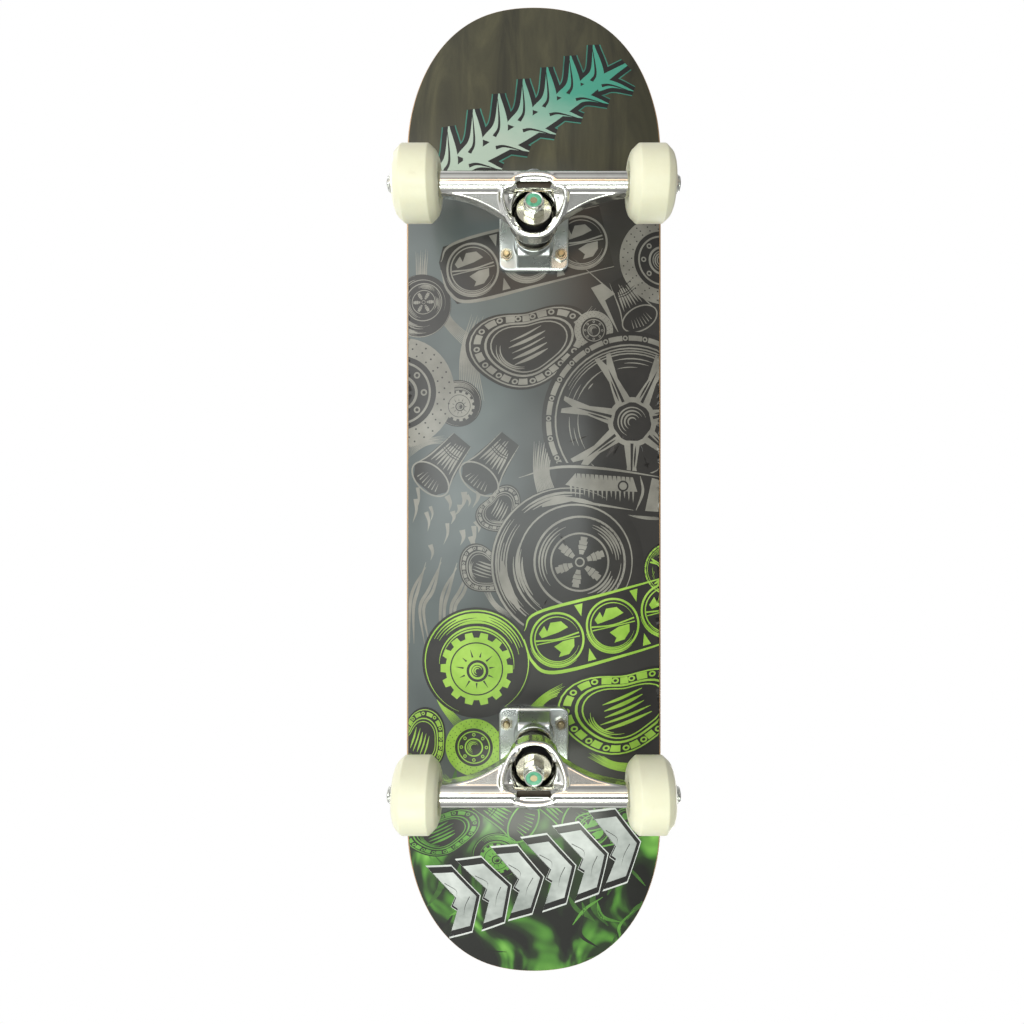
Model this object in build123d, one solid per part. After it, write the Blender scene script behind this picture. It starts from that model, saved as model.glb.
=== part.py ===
from build123d import *
import math
import os

# A complete street skateboard, wheels down, in millimetres.
# X runs across the board, +Y towards the nose, +Z up. The origin is the middle of the four wheels' contact
# plane. Each truck is drawn once beside its inner bolts, in a frame whose +Y points away from the middle of
# the board and whose z = 0 is the underside of the deck, and is then placed at both ends.

# ---- wheels and bearings
WHEEL_RADIUS = 26.5
WHEEL_WIDTH = 32.0
TREAD_WIDTH = 18.0
WHEEL_FACE_RADIUS = 17.0
WHEEL_SHOULDER_RADIUS = 22.5
WHEEL_DISH_RADIUS = 13.0
BEARING_BORE = 4.05
BEARING_OUTER_RADIUS = 11.0
BEARING_WIDTH = 7.0
BALL_PITCH_RADIUS = 7.5
BALL_RADIUS = 1.98
BALL_COUNT = 7
RACE_CLEARANCE = 0.07
INNER_RING_RADIUS = 6.2
OUTER_RING_BORE = 8.8
SHIELD_THICKNESS = 0.4
SHIELD_INSET = 0.2
CAGE_WALL = 1.0
CAGE_WIDTH = 4.8
CORE_WIDTH = 27.0
CORE_RADIUS = 8.4

# ---- axle, across the truck
HANGER_HALF_WIDTH = 67.0
AXLE_RADIUS = 4.0
AXLE_HALF_LENGTH = 102.3
SPEED_RING_RADIUS = 6.5
SPEED_RING_THICKNESS = 1.0
AXLE_NUT_FLATS = 12.7
AXLE_NUT_LENGTH = 5.8
AXLE_DROP = 53.0
AXLE_OUTWARD = 35.7
TUBE_RADIUS = 8.7

# ---- deck
DECK_WIDTH = 198.5
DECK_LENGTH = 797.0
PLY_COUNT = 7
PLY_THICKNESS = 1.5
GRIP_THICKNESS = 0.9
PRINT_THICKNESS = 0.15
CONCAVE_FLAT_HALF = 30.0
CONCAVE_RADIUS = 269.0
CONCAVE_ANGLE = 16.0
KICK_START = 243.0
KICK_RADIUS = 170.0
KICK_ANGLE = 20.0
RAIL_END = 266.0
RAIL_HANDLE = 77.5
TIP_HANDLE = 64.8
EDGE_INSETS = (1.5, 0.4, 0.0, 0.0, 0.0, 0.4, 1.5)

# ---- truck mounting
INNER_BOLT_Y = 177.8
BOLT_SPACING_X = 41.3
BOLT_SPACING_Y = 54.0
BOLT_RADIUS = 2.4
BOLT_HOLE_RADIUS = 2.65
BOLT_HEAD_RADIUS = 4.8
BOLT_HEAD_HEIGHT = 2.6
BOLT_END = 12.6
BOLT_NUT_FLATS = 8.7
BOLT_NUT_HEIGHT = 4.2

# ---- baseplate
PLATE_WIDTH = 53.0
PLATE_INNER = -11.7
PLATE_OUTER = 63.5
PLATE_THICKNESS = 5.5
PLATE_CORNER = 6.0
SPINE_HALF_WIDTH = 12.2
RIB_HALF_WIDTH = 7.5
SEAT_RADIUS = 14.6

# ---- kingpin line: outward offset where it meets the deck, tilt from the vertical, stations along it
KINGPIN_FOOT = 6.17
KINGPIN_TILT = 16.0
KINGPIN_RADIUS = 4.76
KINGPIN_HEAD_RADIUS = 8.3
KINGPIN_HEAD = (2.7, 8.5)
KINGPIN_END = 60.0
SEAT = 19.5
RING = (33.0, 39.0)
CUP_RIM = 45.5
RING_RADIUS = 18.0
RING_HOLE_RADIUS = 8.0
RECESS_RADIUS = 15.3
DISH_RADII = (23.5, 16.0, 11.5)
DISH_OUTWARD = 23.5
DISH_DROP = 54.4
SHEATH_WALL = 2.2
CORE_HALF_WIDTH = 15.0
SLOT_OUTWARD = 36.8
SLOT_SIZE = (26.0, 3.4)
SLOT_WALL = 1.2
WASHER_THICKNESS = 1.5
TOP_WASHER = 47.9
TOP_WASHER_RADIUS = 12.25
BOTTOM_WASHER_RADIUS = 14.0
WASHER_RIM = 1.0
BARREL_RADIUS = 12.6
CONE_RADII = (13.4, 10.6)
BUSHING_STEP = 2.5
STEP_RADIUS = 7.7
KINGPIN_NUT_FLATS = 14.3
KINGPIN_NUT_HEX_END = 57.6
KINGPIN_NUT_END = 60.6
NUT_COLLAR_RADIUS = 6.3
NUT_INSERT_RADIUS = 5.5
NUT_BEVEL = (0.64, 0.54)
NUT_COLLAR = 0.44
NUT_HEX = 0.75
CLEARANCE = 0.05

# ---- pivot line: centre of the pivot ball, outward and below the deck
PIVOT_OUTWARD = 50.5
PIVOT_DROP = 14.5
PIVOT_RADIUS = 5.0
PIVOT_CUP_RADIUS = 7.3
PIVOT_CUP_DEPTH = 6.0
PIVOT_CUP_MOUTH = 4.0
PIVOT_BOSS_RADIUS = 8.8
STEM = (5.5, 20.0)
STEM_RADII = (6.5, 8.5)

# ---- worked out
DECK_UNDERSIDE = WHEEL_RADIUS + AXLE_DROP
WOOD_UNDERSIDE = DECK_UNDERSIDE + PRINT_THICKNESS
DECK_HEIGHT = PRINT_THICKNESS + PLY_COUNT * PLY_THICKNESS + GRIP_THICKNESS
CORE_START = HANGER_HALF_WIDTH + SPEED_RING_THICKNESS
WHEEL_CENTRE = CORE_START + CORE_WIDTH / 2
BEARING_CENTRES = (
    WHEEL_CENTRE - (CORE_WIDTH - BEARING_WIDTH) / 2,
    WHEEL_CENTRE + (CORE_WIDTH - BEARING_WIDTH) / 2,
)
PLATE_MIDDLE = (PLATE_INNER + PLATE_OUTER) / 2
TILT = math.radians(KINGPIN_TILT)
RING_MIDDLE = (RING[0] + RING[1]) / 2
RING_OUTWARD = KINGPIN_FOOT + RING_MIDDLE * math.sin(TILT)
RING_DROP = RING_MIDDLE * math.cos(TILT)
BOLT_PLACES = [(x, y) for x in (-BOLT_SPACING_X / 2, BOLT_SPACING_X / 2) for y in (0, BOLT_SPACING_Y)]
FAR = 200.0

KINGPIN_PLANE = Plane(
    origin=(0, KINGPIN_FOOT, 0), x_dir=(1, 0, 0), z_dir=(0, math.sin(TILT), -math.cos(TILT))
)
PIVOT_PLANE = Plane(
    origin=(0, PIVOT_OUTWARD, -PIVOT_DROP),
    x_dir=(1, 0, 0),
    z_dir=(0, RING_OUTWARD - PIVOT_OUTWARD, PIVOT_DROP - RING_DROP),
)
TRUCK_PLACE = Pos(0, INNER_BOLT_Y, DECK_UNDERSIDE)
TRUCKS = {"front": TRUCK_PLACE, "rear": Rot(0, 0, 180) * TRUCK_PLACE}
SIDES = {"left": -1, "right": 1}


# ---------------------------------------------------------------- helpers
def frustum(plane, start, end, start_radius, end_radius=None):
    """A cylinder or cone along a plane's z axis, between two stations on it."""
    place = plane * Pos(0, 0, start)
    if end_radius is None or end_radius == start_radius:
        return place * Cylinder(start_radius, end - start, align=(Align.CENTER, Align.CENTER, Align.MIN))
    return place * Cone(start_radius, end_radius, end - start, align=(Align.CENTER, Align.CENTER, Align.MIN))


def tube(plane, start, end, radius, bore):
    return frustum(plane, start, end, radius) - frustum(plane, start - 1, end + 1, bore)


def hexagon(plane, start, end, flats):
    outline = RegularPolygon(flats / 2, 6, major_radius=False)
    return plane * Pos(0, 0, start) * extrude(outline, amount=end - start)


def side_prism(points, half_width):
    """A prism across the truck from its side view, whose points are (outward, below the deck)."""
    outline = Plane.YZ * make_face(Polyline(*[(out, -below) for out, below in points], close=True))
    return extrude(outline, amount=half_width, both=True)


def across(centre_x, radius_profile):
    """A solid of revolution about the axle, from its (x, radius) outline."""
    outline = Plane.XY * make_face(Polyline(*radius_profile, close=True))
    return Pos(centre_x, 0, 0) * revolve(outline, axis=Axis.X)


def ring_across(start_x, end_x, radius, bore):
    return across(0, [(start_x, bore), (end_x, bore), (end_x, radius), (start_x, radius)])


def group(solids):
    return Compound(children=list(solids))


# ---------------------------------------------------------------- deck
def deck_section(low, high):
    """The deck's cross-section between two offsets above the wood's underside: flat middle, curved rails."""
    angle = math.radians(CONCAVE_ANGLE)

    def on_arc(offset, turn, side):
        radius = CONCAVE_RADIUS - offset
        return (
            side * (CONCAVE_FLAT_HALF + radius * math.sin(turn)),
            WOOD_UNDERSIDE + CONCAVE_RADIUS - radius * math.cos(turn),
        )

    def arc(offset, side):
        return ThreePointArc(*[on_arc(offset, angle * share, side) for share in (0, 0.5, 1)])

    edges = [
        Line(on_arc(low, 0, -1), on_arc(low, 0, 1)),
        arc(low, 1),
        Line(on_arc(low, angle, 1), on_arc(high, angle, 1)),
        arc(high, 1),
        Line(on_arc(high, 0, 1), on_arc(high, 0, -1)),
        arc(high, -1),
        Line(on_arc(high, angle, -1), on_arc(low, angle, -1)),
        arc(low, -1),
    ]
    return Plane.XZ * make_face(edges)


def deck_outline(inset):
    """Straight rails joined by a rounded nose and an equal rounded tail."""
    half_width = DECK_WIDTH / 2 - inset
    tip = DECK_LENGTH / 2 - inset
    edges = []
    for side in (-1, 1):
        edges.append(Line((side * half_width, -RAIL_END), (side * half_width, RAIL_END)))
        for end in (-1, 1):
            edges.append(
                Bezier(
                    (side * half_width, end * RAIL_END),
                    (side * half_width, end * (RAIL_END + RAIL_HANDLE)),
                    (side * TIP_HANDLE, end * tip),
                    (0, end * tip),
                )
            )
    return extrude(make_face(edges), amount=FAR)


def deck_slab(low, high):
    """A layer of the deck before it is cut to its outline: a flat middle and two upswept ends."""
    section = deck_section(low, high)
    turn = math.radians(KICK_ANGLE)
    bend_axis = Axis((0, KICK_START, WOOD_UNDERSIDE + KICK_RADIUS), (1, 0, 0))
    start = Pos(0, KICK_START, 0) * section
    bend = revolve(start, axis=bend_axis, revolution_arc=KICK_ANGLE)
    ramp = extrude(start.rotate(bend_axis, KICK_ANGLE), amount=FAR, dir=(0, math.cos(turn), math.sin(turn)))
    middle = extrude(Pos(0, -KICK_START, 0) * section, amount=2 * KICK_START, dir=(0, 1, 0))
    nose = bend + ramp
    return middle + nose + mirror(nose, about=Plane.XZ)


def deck_holes():
    """The eight countersunk holes, as the solids to cut away."""
    top = WOOD_UNDERSIDE + PLY_COUNT * PLY_THICKNESS + GRIP_THICKNESS
    cutters = []
    for x, y in BOLT_PLACES:
        for end in (-1, 1):
            place = Plane(origin=(x, end * (INNER_BOLT_Y + y), 0))
            cutters.append(frustum(place, DECK_UNDERSIDE - 1, top + 1, BOLT_HOLE_RADIUS))
            cutters.append(
                frustum(place, top - BOLT_HEAD_HEIGHT, top, BOLT_HOLE_RADIUS, BOLT_HEAD_RADIUS + CLEARANCE)
            )
    return cutters


def deck_layer(low, high, inset):
    return (deck_slab(low, high) & deck_outline(inset)) - deck_holes()


# ---------------------------------------------------------------- truck parts fixed to the deck
def baseplate():
    outline = Pos(0, PLATE_MIDDLE) * RectangleRounded(PLATE_WIDTH, PLATE_OUTER - PLATE_INNER, PLATE_CORNER)
    plate = extrude(outline, amount=-PLATE_THICKNESS)
    plate = chamfer(plate.faces().sort_by(Axis.Z)[0].edges(), 0.8)
    spine_view = [
        (-9.6, 0), (-9.6, PLATE_THICKNESS), (-4.2, 17.4), (-2.6, 18.6), (4.0, 19.4), (20.0, 14.0), (24.0, 0),
    ]
    rib_view = [(10.0, 0), (10.0, 13.0), (48.0, 9.0), (48.0, 0)]
    spine = side_prism(spine_view, SPINE_HALF_WIDTH)
    rib = side_prism(rib_view, RIB_HALF_WIDTH)
    seat = frustum(KINGPIN_PLANE, 0, SEAT, SEAT_RADIUS)
    boss = frustum(PIVOT_PLANE, -PIVOT_CUP_DEPTH - 0.8, PIVOT_CUP_MOUTH - 0.5, PIVOT_BOSS_RADIUS)
    body = plate + spine + rib + seat + boss
    body -= frustum(KINGPIN_PLANE, -FAR, FAR, KINGPIN_RADIUS + CLEARANCE)
    body -= frustum(KINGPIN_PLANE, -FAR, KINGPIN_HEAD[1], KINGPIN_HEAD_RADIUS + CLEARANCE)
    body -= frustum(PIVOT_PLANE, -PIVOT_CUP_DEPTH, FAR, PIVOT_CUP_RADIUS + CLEARANCE)
    for x, y in BOLT_PLACES:
        body -= Pos(x, y, -FAR) * Cylinder(BOLT_HOLE_RADIUS, 2 * FAR)
    return body & Pos(0, 0, -FAR / 2) * Box(FAR, FAR, FAR)


def pivot_cup():
    cup = frustum(PIVOT_PLANE, -PIVOT_CUP_DEPTH, PIVOT_CUP_MOUTH, PIVOT_CUP_RADIUS)
    cup -= frustum(PIVOT_PLANE, 0, FAR, PIVOT_RADIUS + CLEARANCE)
    return cup - PIVOT_PLANE * Sphere(PIVOT_RADIUS + CLEARANCE)


def kingpin():
    head = frustum(KINGPIN_PLANE, *KINGPIN_HEAD, KINGPIN_HEAD_RADIUS)
    return head + frustum(KINGPIN_PLANE, KINGPIN_HEAD[0], KINGPIN_END, KINGPIN_RADIUS)


def kingpin_nut():
    start = TOP_WASHER + WASHER_THICKNESS
    nut = hexagon(KINGPIN_PLANE, start, KINGPIN_NUT_HEX_END, KINGPIN_NUT_FLATS)
    corner_radii = [KINGPIN_NUT_FLATS * share for share in NUT_BEVEL]
    nut &= frustum(KINGPIN_PLANE, start, KINGPIN_NUT_HEX_END, *corner_radii)
    nut += frustum(KINGPIN_PLANE, start, KINGPIN_NUT_END, NUT_COLLAR_RADIUS)
    nut -= frustum(KINGPIN_PLANE, 0, FAR, KINGPIN_RADIUS + CLEARANCE)
    return nut - frustum(KINGPIN_PLANE, KINGPIN_NUT_HEX_END, FAR, NUT_INSERT_RADIUS)


def nut_insert():
    return tube(
        KINGPIN_PLANE, KINGPIN_NUT_HEX_END, KINGPIN_NUT_END - 0.2, NUT_INSERT_RADIUS - CLEARANCE,
        KINGPIN_RADIUS + CLEARANCE,
    )


def top_washer():
    """Cupped: its rim turns back over the edge of the upper bushing."""
    end = TOP_WASHER + WASHER_THICKNESS
    washer = tube(KINGPIN_PLANE, TOP_WASHER - WASHER_RIM, end, TOP_WASHER_RADIUS, KINGPIN_RADIUS + CLEARANCE)
    return washer - frustum(KINGPIN_PLANE, 0, TOP_WASHER, TOP_WASHER_RADIUS - WASHER_RIM)


def bottom_washer():
    """Cupped: its rim stands up round the foot of the lower bushing."""
    floor = SEAT + WASHER_THICKNESS
    washer = tube(KINGPIN_PLANE, SEAT, floor + WASHER_RIM, BOTTOM_WASHER_RADIUS, KINGPIN_RADIUS + CLEARANCE)
    return washer - frustum(KINGPIN_PLANE, floor, FAR, BOTTOM_WASHER_RADIUS - WASHER_RIM)


def bottom_bushing():
    """A barrel with a step that centres it in the hanger's ring."""
    barrel = frustum(KINGPIN_PLANE, SEAT + WASHER_THICKNESS, RING[0], BARREL_RADIUS)
    barrel += frustum(KINGPIN_PLANE, RING[0] - 1, RING[0] + BUSHING_STEP, STEP_RADIUS)
    return barrel - frustum(KINGPIN_PLANE, 0, FAR, KINGPIN_RADIUS + CLEARANCE)


def top_bushing():
    cone = frustum(KINGPIN_PLANE, RING[1], TOP_WASHER, *CONE_RADII)
    cone += frustum(KINGPIN_PLANE, RING[1] - BUSHING_STEP, RING[1] + 1, STEP_RADIUS)
    return cone - frustum(KINGPIN_PLANE, 0, FAR, KINGPIN_RADIUS + CLEARANCE)


def mounting_bolts():
    """Four flat-headed bolts, their heads flush with the grip tape and their ends below the nuts."""
    for x, y in BOLT_PLACES:
        place = Plane(origin=(x, y, 0))
        head = frustum(place, DECK_HEIGHT - BOLT_HEAD_HEIGHT, DECK_HEIGHT, BOLT_RADIUS, BOLT_HEAD_RADIUS)
        yield head + frustum(place, -BOLT_END, DECK_HEIGHT - BOLT_HEAD_HEIGHT, BOLT_RADIUS)


def mounting_nuts():
    for x, y in BOLT_PLACES:
        place = Plane(origin=(x, y, 0))
        top = -PLATE_THICKNESS
        nut = hexagon(place, top - BOLT_NUT_HEIGHT, top, BOLT_NUT_FLATS)
        yield nut - frustum(place, -FAR, FAR, BOLT_RADIUS + CLEARANCE)


# ---------------------------------------------------------------- hanger and axle
def wing_planform():
    """The hanger seen from below: narrow at the ring, swept out to the full width of the axle tube."""
    end = HANGER_HALF_WIDTH
    inner_edge = [(12.5, 4.0), (19.3, 12.6), (27.5, 17.5), (38.5, 22.5), (52.6, 26.2), (end, 28.4)]
    outer = AXLE_OUTWARD + TUBE_RADIUS
    right = Spline(*inner_edge)
    left = Spline(*[(-x, y) for x, y in inner_edge])
    rest = Polyline(inner_edge[-1], (end, outer), (-end, outer), (-end, inner_edge[-1][1]))
    nose = Line((-inner_edge[0][0], inner_edge[0][1]), inner_edge[0])
    return Pos(0, 0, -FAR / 2) * extrude(make_face([right, left, rest, nose]), amount=FAR / 2)


def bowl():
    """The recess round the kingpin nut: a round well, and a wider oval dish that stops short of the axle."""
    dish_plane = Plane(origin=(0, DISH_OUTWARD, -DISH_DROP), x_dir=(1, 0, 0), z_dir=(0, 0.375, -0.927))
    dish = dish_plane * scale(Sphere(1), by=DISH_RADII)
    dish -= along_axle(AXLE_RADIUS + SHEATH_WALL, FAR)
    return dish + frustum(KINGPIN_PLANE, RING[1], FAR, RECESS_RADIUS)


def hanger():
    wing_view = [
        (1, 36), (1, 46.3), (16, 52.2), (29.5, 58), (AXLE_OUTWARD, 60),
        (43, 56), (43, 50), (31, 46.5), (23, 43), (13, 37.5),
    ]
    core_view = [
        (14, 34), (24, 31), (32.5, 25), (39, 29), (43.3, 44),
        (43, 57), (AXLE_OUTWARD, 61), (28, 58.5), (20, 50),
    ]
    wings = side_prism(wing_view, HANGER_HALF_WIDTH) & wing_planform()
    body = wings + along_axle(TUBE_RADIUS, HANGER_HALF_WIDTH) + side_prism(core_view, CORE_HALF_WIDTH)
    body += frustum(KINGPIN_PLANE, RING[0], CUP_RIM, RING_RADIUS)
    body += frustum(PIVOT_PLANE, *STEM, *STEM_RADII)
    body -= frustum(KINGPIN_PLANE, 0, FAR, RING_HOLE_RADIUS)
    body -= frustum(KINGPIN_PLANE, 0, RING[0], RING_RADIUS + 1)
    body -= bowl()
    slot_floor = AXLE_DROP + AXLE_RADIUS + SLOT_WALL
    body -= Pos(0, SLOT_OUTWARD, -slot_floor) * extrude(SlotOverall(*SLOT_SIZE), amount=-TUBE_RADIUS)
    body += frustum(PIVOT_PLANE, 0, STEM[1], PIVOT_RADIUS) + PIVOT_PLANE * Sphere(PIVOT_RADIUS)
    return body - along_axle(AXLE_RADIUS + CLEARANCE, FAR)


def along_axle(radius, half_length):
    return on_axle(Rot(0, 90, 0) * Cylinder(radius, 2 * half_length))


def on_axle(solid):
    return Pos(0, AXLE_OUTWARD, -AXLE_DROP) * solid


def axle():
    bevel = 1.0
    end = AXLE_HALF_LENGTH
    outline = [
        (-end, 0), (-end, AXLE_RADIUS - bevel), (bevel - end, AXLE_RADIUS), (end - bevel, AXLE_RADIUS),
        (end, AXLE_RADIUS - bevel), (end, 0),
    ]
    return across(0, outline)


def axle_nuts():
    """Lock nuts with a round collar on the outer side."""
    start = CORE_START + CORE_WIDTH + SPEED_RING_THICKNESS
    collar_start = start + AXLE_NUT_LENGTH * NUT_HEX
    for side in SIDES.values():
        plane = Plane(origin=(0, 0, 0), x_dir=(0, 1, 0), z_dir=(side, 0, 0))
        nut = hexagon(plane, start, collar_start, AXLE_NUT_FLATS)
        nut &= frustum(plane, start, collar_start, *[AXLE_NUT_FLATS * share for share in NUT_BEVEL])
        nut += frustum(plane, start, start + AXLE_NUT_LENGTH, AXLE_NUT_FLATS * NUT_COLLAR)
        yield nut - frustum(plane, 0, FAR, BEARING_BORE)


def speed_rings():
    for side in SIDES.values():
        for start in (HANGER_HALF_WIDTH, CORE_START + CORE_WIDTH):
            low, high = sorted((side * start, side * (start + SPEED_RING_THICKNESS)))
            yield ring_across(low, high, SPEED_RING_RADIUS, BEARING_BORE)


def race_groove(extra):
    """The path of the balls, as a ring of round section to cut from a race."""
    return Rot(0, 90, 0) * Torus(BALL_PITCH_RADIUS, BALL_RADIUS + extra)


def bearing_inner_rings():
    half = BEARING_WIDTH / 2
    for side in SIDES.values():
        for centre in BEARING_CENTRES:
            yield Pos(side * centre, 0, 0) * (
                ring_across(-half, half, INNER_RING_RADIUS, BEARING_BORE) - race_groove(RACE_CLEARANCE)
            )


# ---------------------------------------------------------------- wheel, drawn about its own centre
def bearing_places():
    return [centre - WHEEL_CENTRE for centre in BEARING_CENTRES]


def wheel():
    half = WHEEL_WIDTH / 2
    tread = TREAD_WIDTH / 2
    core = CORE_WIDTH / 2
    shoulder_x = half - 2.2
    inner_seat = core - BEARING_WIDTH
    outer_half = [
        (inner_seat, CORE_RADIUS), (inner_seat, BEARING_OUTER_RADIUS), (core, BEARING_OUTER_RADIUS),
        (core, WHEEL_DISH_RADIUS), (half, WHEEL_DISH_RADIUS + 1.2), (half, WHEEL_FACE_RADIUS),
        (shoulder_x, WHEEL_SHOULDER_RADIUS), (tread + 1.2, WHEEL_RADIUS - 0.8), (tread, WHEEL_RADIUS),
    ]
    return across(0, outer_half + [(-x, r) for x, r in reversed(outer_half)])


def bearing_outer_rings():
    half = BEARING_WIDTH / 2
    for centre in bearing_places():
        ring = ring_across(-half, half, BEARING_OUTER_RADIUS, OUTER_RING_BORE) - race_groove(RACE_CLEARANCE)
        yield Pos(centre, 0, 0) * ring


def bearing_shields():
    face = BEARING_WIDTH / 2 - SHIELD_INSET
    for centre in bearing_places():
        for side in (-1, 1):
            low, high = sorted((side * face, side * (face - SHIELD_THICKNESS)))
            yield Pos(centre, 0, 0) * ring_across(low, high, OUTER_RING_BORE, INNER_RING_RADIUS + 0.15)


def ball_cages():
    """Both bearings' balls, and the ring that spaces them."""
    for centre in bearing_places():
        outer, inner = BALL_PITCH_RADIUS + CAGE_WALL / 2, BALL_PITCH_RADIUS - CAGE_WALL / 2
        cage = ring_across(-CAGE_WIDTH / 2, CAGE_WIDTH / 2, outer, inner)
        for index in range(BALL_COUNT):
            place = Rot(360 * index / BALL_COUNT, 0, 0) * Pos(0, BALL_PITCH_RADIUS, 0)
            cage -= place * Sphere(BALL_RADIUS + RACE_CLEARANCE)
            yield Pos(centre, 0, 0) * place * Sphere(BALL_RADIUS)
        yield Pos(centre, 0, 0) * cage


# ---------------------------------------------------------------- every node
def deck_nodes():
    nodes = {"bottom_print": deck_layer(-PRINT_THICKNESS, 0, EDGE_INSETS[0])}
    for index, inset in enumerate(EDGE_INSETS):
        low = index * PLY_THICKNESS
        nodes[f"ply_{index + 1}"] = deck_layer(low, low + PLY_THICKNESS, inset)
    top = PLY_COUNT * PLY_THICKNESS
    nodes["grip_tape"] = deck_layer(top, top + GRIP_THICKNESS, EDGE_INSETS[-1])
    return nodes


def truck_nodes():
    return {
        "baseplate": baseplate(),
        "pivot_cup": pivot_cup(),
        "kingpin": kingpin(),
        "kingpin_nut": kingpin_nut(),
        "nut_insert": nut_insert(),
        "top_washer": top_washer(),
        "top_bushing": top_bushing(),
        "bottom_bushing": bottom_bushing(),
        "bottom_washer": bottom_washer(),
        "mounting_bolts": group(mounting_bolts()),
        "mounting_nuts": group(mounting_nuts()),
        "hanger": hanger(),
        "axle": on_axle(axle()),
        "axle_nuts": on_axle(group(axle_nuts())),
        "speed_rings": on_axle(group(speed_rings())),
        "bearing_inner_rings": on_axle(group(bearing_inner_rings())),
    }


def wheel_nodes():
    return {
        "wheel": wheel(),
        "bearing_outer_rings": group(bearing_outer_rings()),
        "bearing_shields": group(bearing_shields()),
        "ball_cages": group(ball_cages()),
    }


nodes = deck_nodes()
truck = truck_nodes()
wheel_parts = wheel_nodes()
for truck_name, place in TRUCKS.items():
    for name, solid in truck.items():
        nodes[f"{truck_name}_{name}"] = place * solid
    for side_name, side in SIDES.items():
        end = 1 if truck_name == "front" else -1
        hub = place * Pos(end * side * WHEEL_CENTRE, AXLE_OUTWARD, -AXLE_DROP)
        for name, solid in wheel_parts.items():
            nodes[f"{truck_name}_{side_name}_{name}"] = hub * solid

os.makedirs("parts", exist_ok=True)
for name, solid in nodes.items():
    export_step(solid, f"parts/{name}.step")
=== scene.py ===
import math
import random

import bmesh
import bpy
import numpy as np
from mathutils import Matrix, Vector
from mathutils.geometry import tessellate_polygon


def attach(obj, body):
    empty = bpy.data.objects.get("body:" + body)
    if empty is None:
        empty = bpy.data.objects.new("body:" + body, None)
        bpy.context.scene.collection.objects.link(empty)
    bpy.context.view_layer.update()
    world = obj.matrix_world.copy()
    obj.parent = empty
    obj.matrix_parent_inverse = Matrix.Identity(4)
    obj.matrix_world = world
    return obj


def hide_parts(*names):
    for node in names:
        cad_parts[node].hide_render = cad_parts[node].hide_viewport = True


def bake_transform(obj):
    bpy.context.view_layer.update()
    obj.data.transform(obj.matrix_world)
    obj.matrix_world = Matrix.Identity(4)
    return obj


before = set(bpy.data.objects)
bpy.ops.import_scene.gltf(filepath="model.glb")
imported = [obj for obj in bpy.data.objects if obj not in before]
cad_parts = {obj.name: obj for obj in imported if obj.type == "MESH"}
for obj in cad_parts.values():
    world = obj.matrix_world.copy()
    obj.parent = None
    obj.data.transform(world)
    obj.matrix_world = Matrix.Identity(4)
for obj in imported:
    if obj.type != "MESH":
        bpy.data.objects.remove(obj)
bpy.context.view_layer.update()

MM = 0.001

# ---- deck, as the CAD model has it
WOOD_UNDERSIDE = 79.65
PRINT_THICKNESS = 0.15
PLY_COUNT = 7
PLY_THICKNESS = 1.5
DECK_THICKNESS = PLY_COUNT * PLY_THICKNESS
GRIP_THICKNESS = 0.9
GRIP_HOLE_RADIUS = 4.95
HALF_WIDTH = 99.25
HALF_LENGTH = 398.5
CONCAVE_FLAT = 30.0
CONCAVE_RADIUS = 269.0
KICK_START = 243.0
KICK_RADIUS = 170.0
KICK_ANGLE = math.radians(20.0)
RAIL_END = 266.0
RAIL_HANDLE = 77.5
TIP_HANDLE = 64.8
FACE_INSET = 1.5
ROUNDING_HEIGHT = 3.0

# ---- trucks and wheels, as the CAD model has them
INNER_BOLT_Y = 177.8
DECK_UNDERSIDE = 79.5
BOLT_SPACING_X = 41.3
BOLT_SPACING_Y = 54.0
AXLE_OUTWARD = 35.7
AXLE_DROP = 53.0
WHEEL_CENTRE = 81.5
KINGPIN_FOOT = 6.17
KINGPIN_TILT = math.radians(16.0)
DOWN = Matrix.Rotation(math.pi, 4, "X")

# ---- printed film: its gloss, and where its middle gives way to the nose's and the tail's colours, in metres
PRINT_GLOSS = {"Roughness": 0.42, "Coat_Weight": 0.5, "Coat_Roughness": 0.2}
NOSE_FADE = (0.215, 0.262)
TAIL_FADE = (-0.236, -0.262)

# ---- camera: straight up at the underside, at arm's length
CAMERA_DISTANCE = 600.0
CAMERA_LENS = 27.5
CAMERA_SHIFT = (-0.0213, -0.0222)

TRUCKS = {"front": 1, "rear": -1}
SIDES = {"left": -1, "right": 1}


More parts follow.
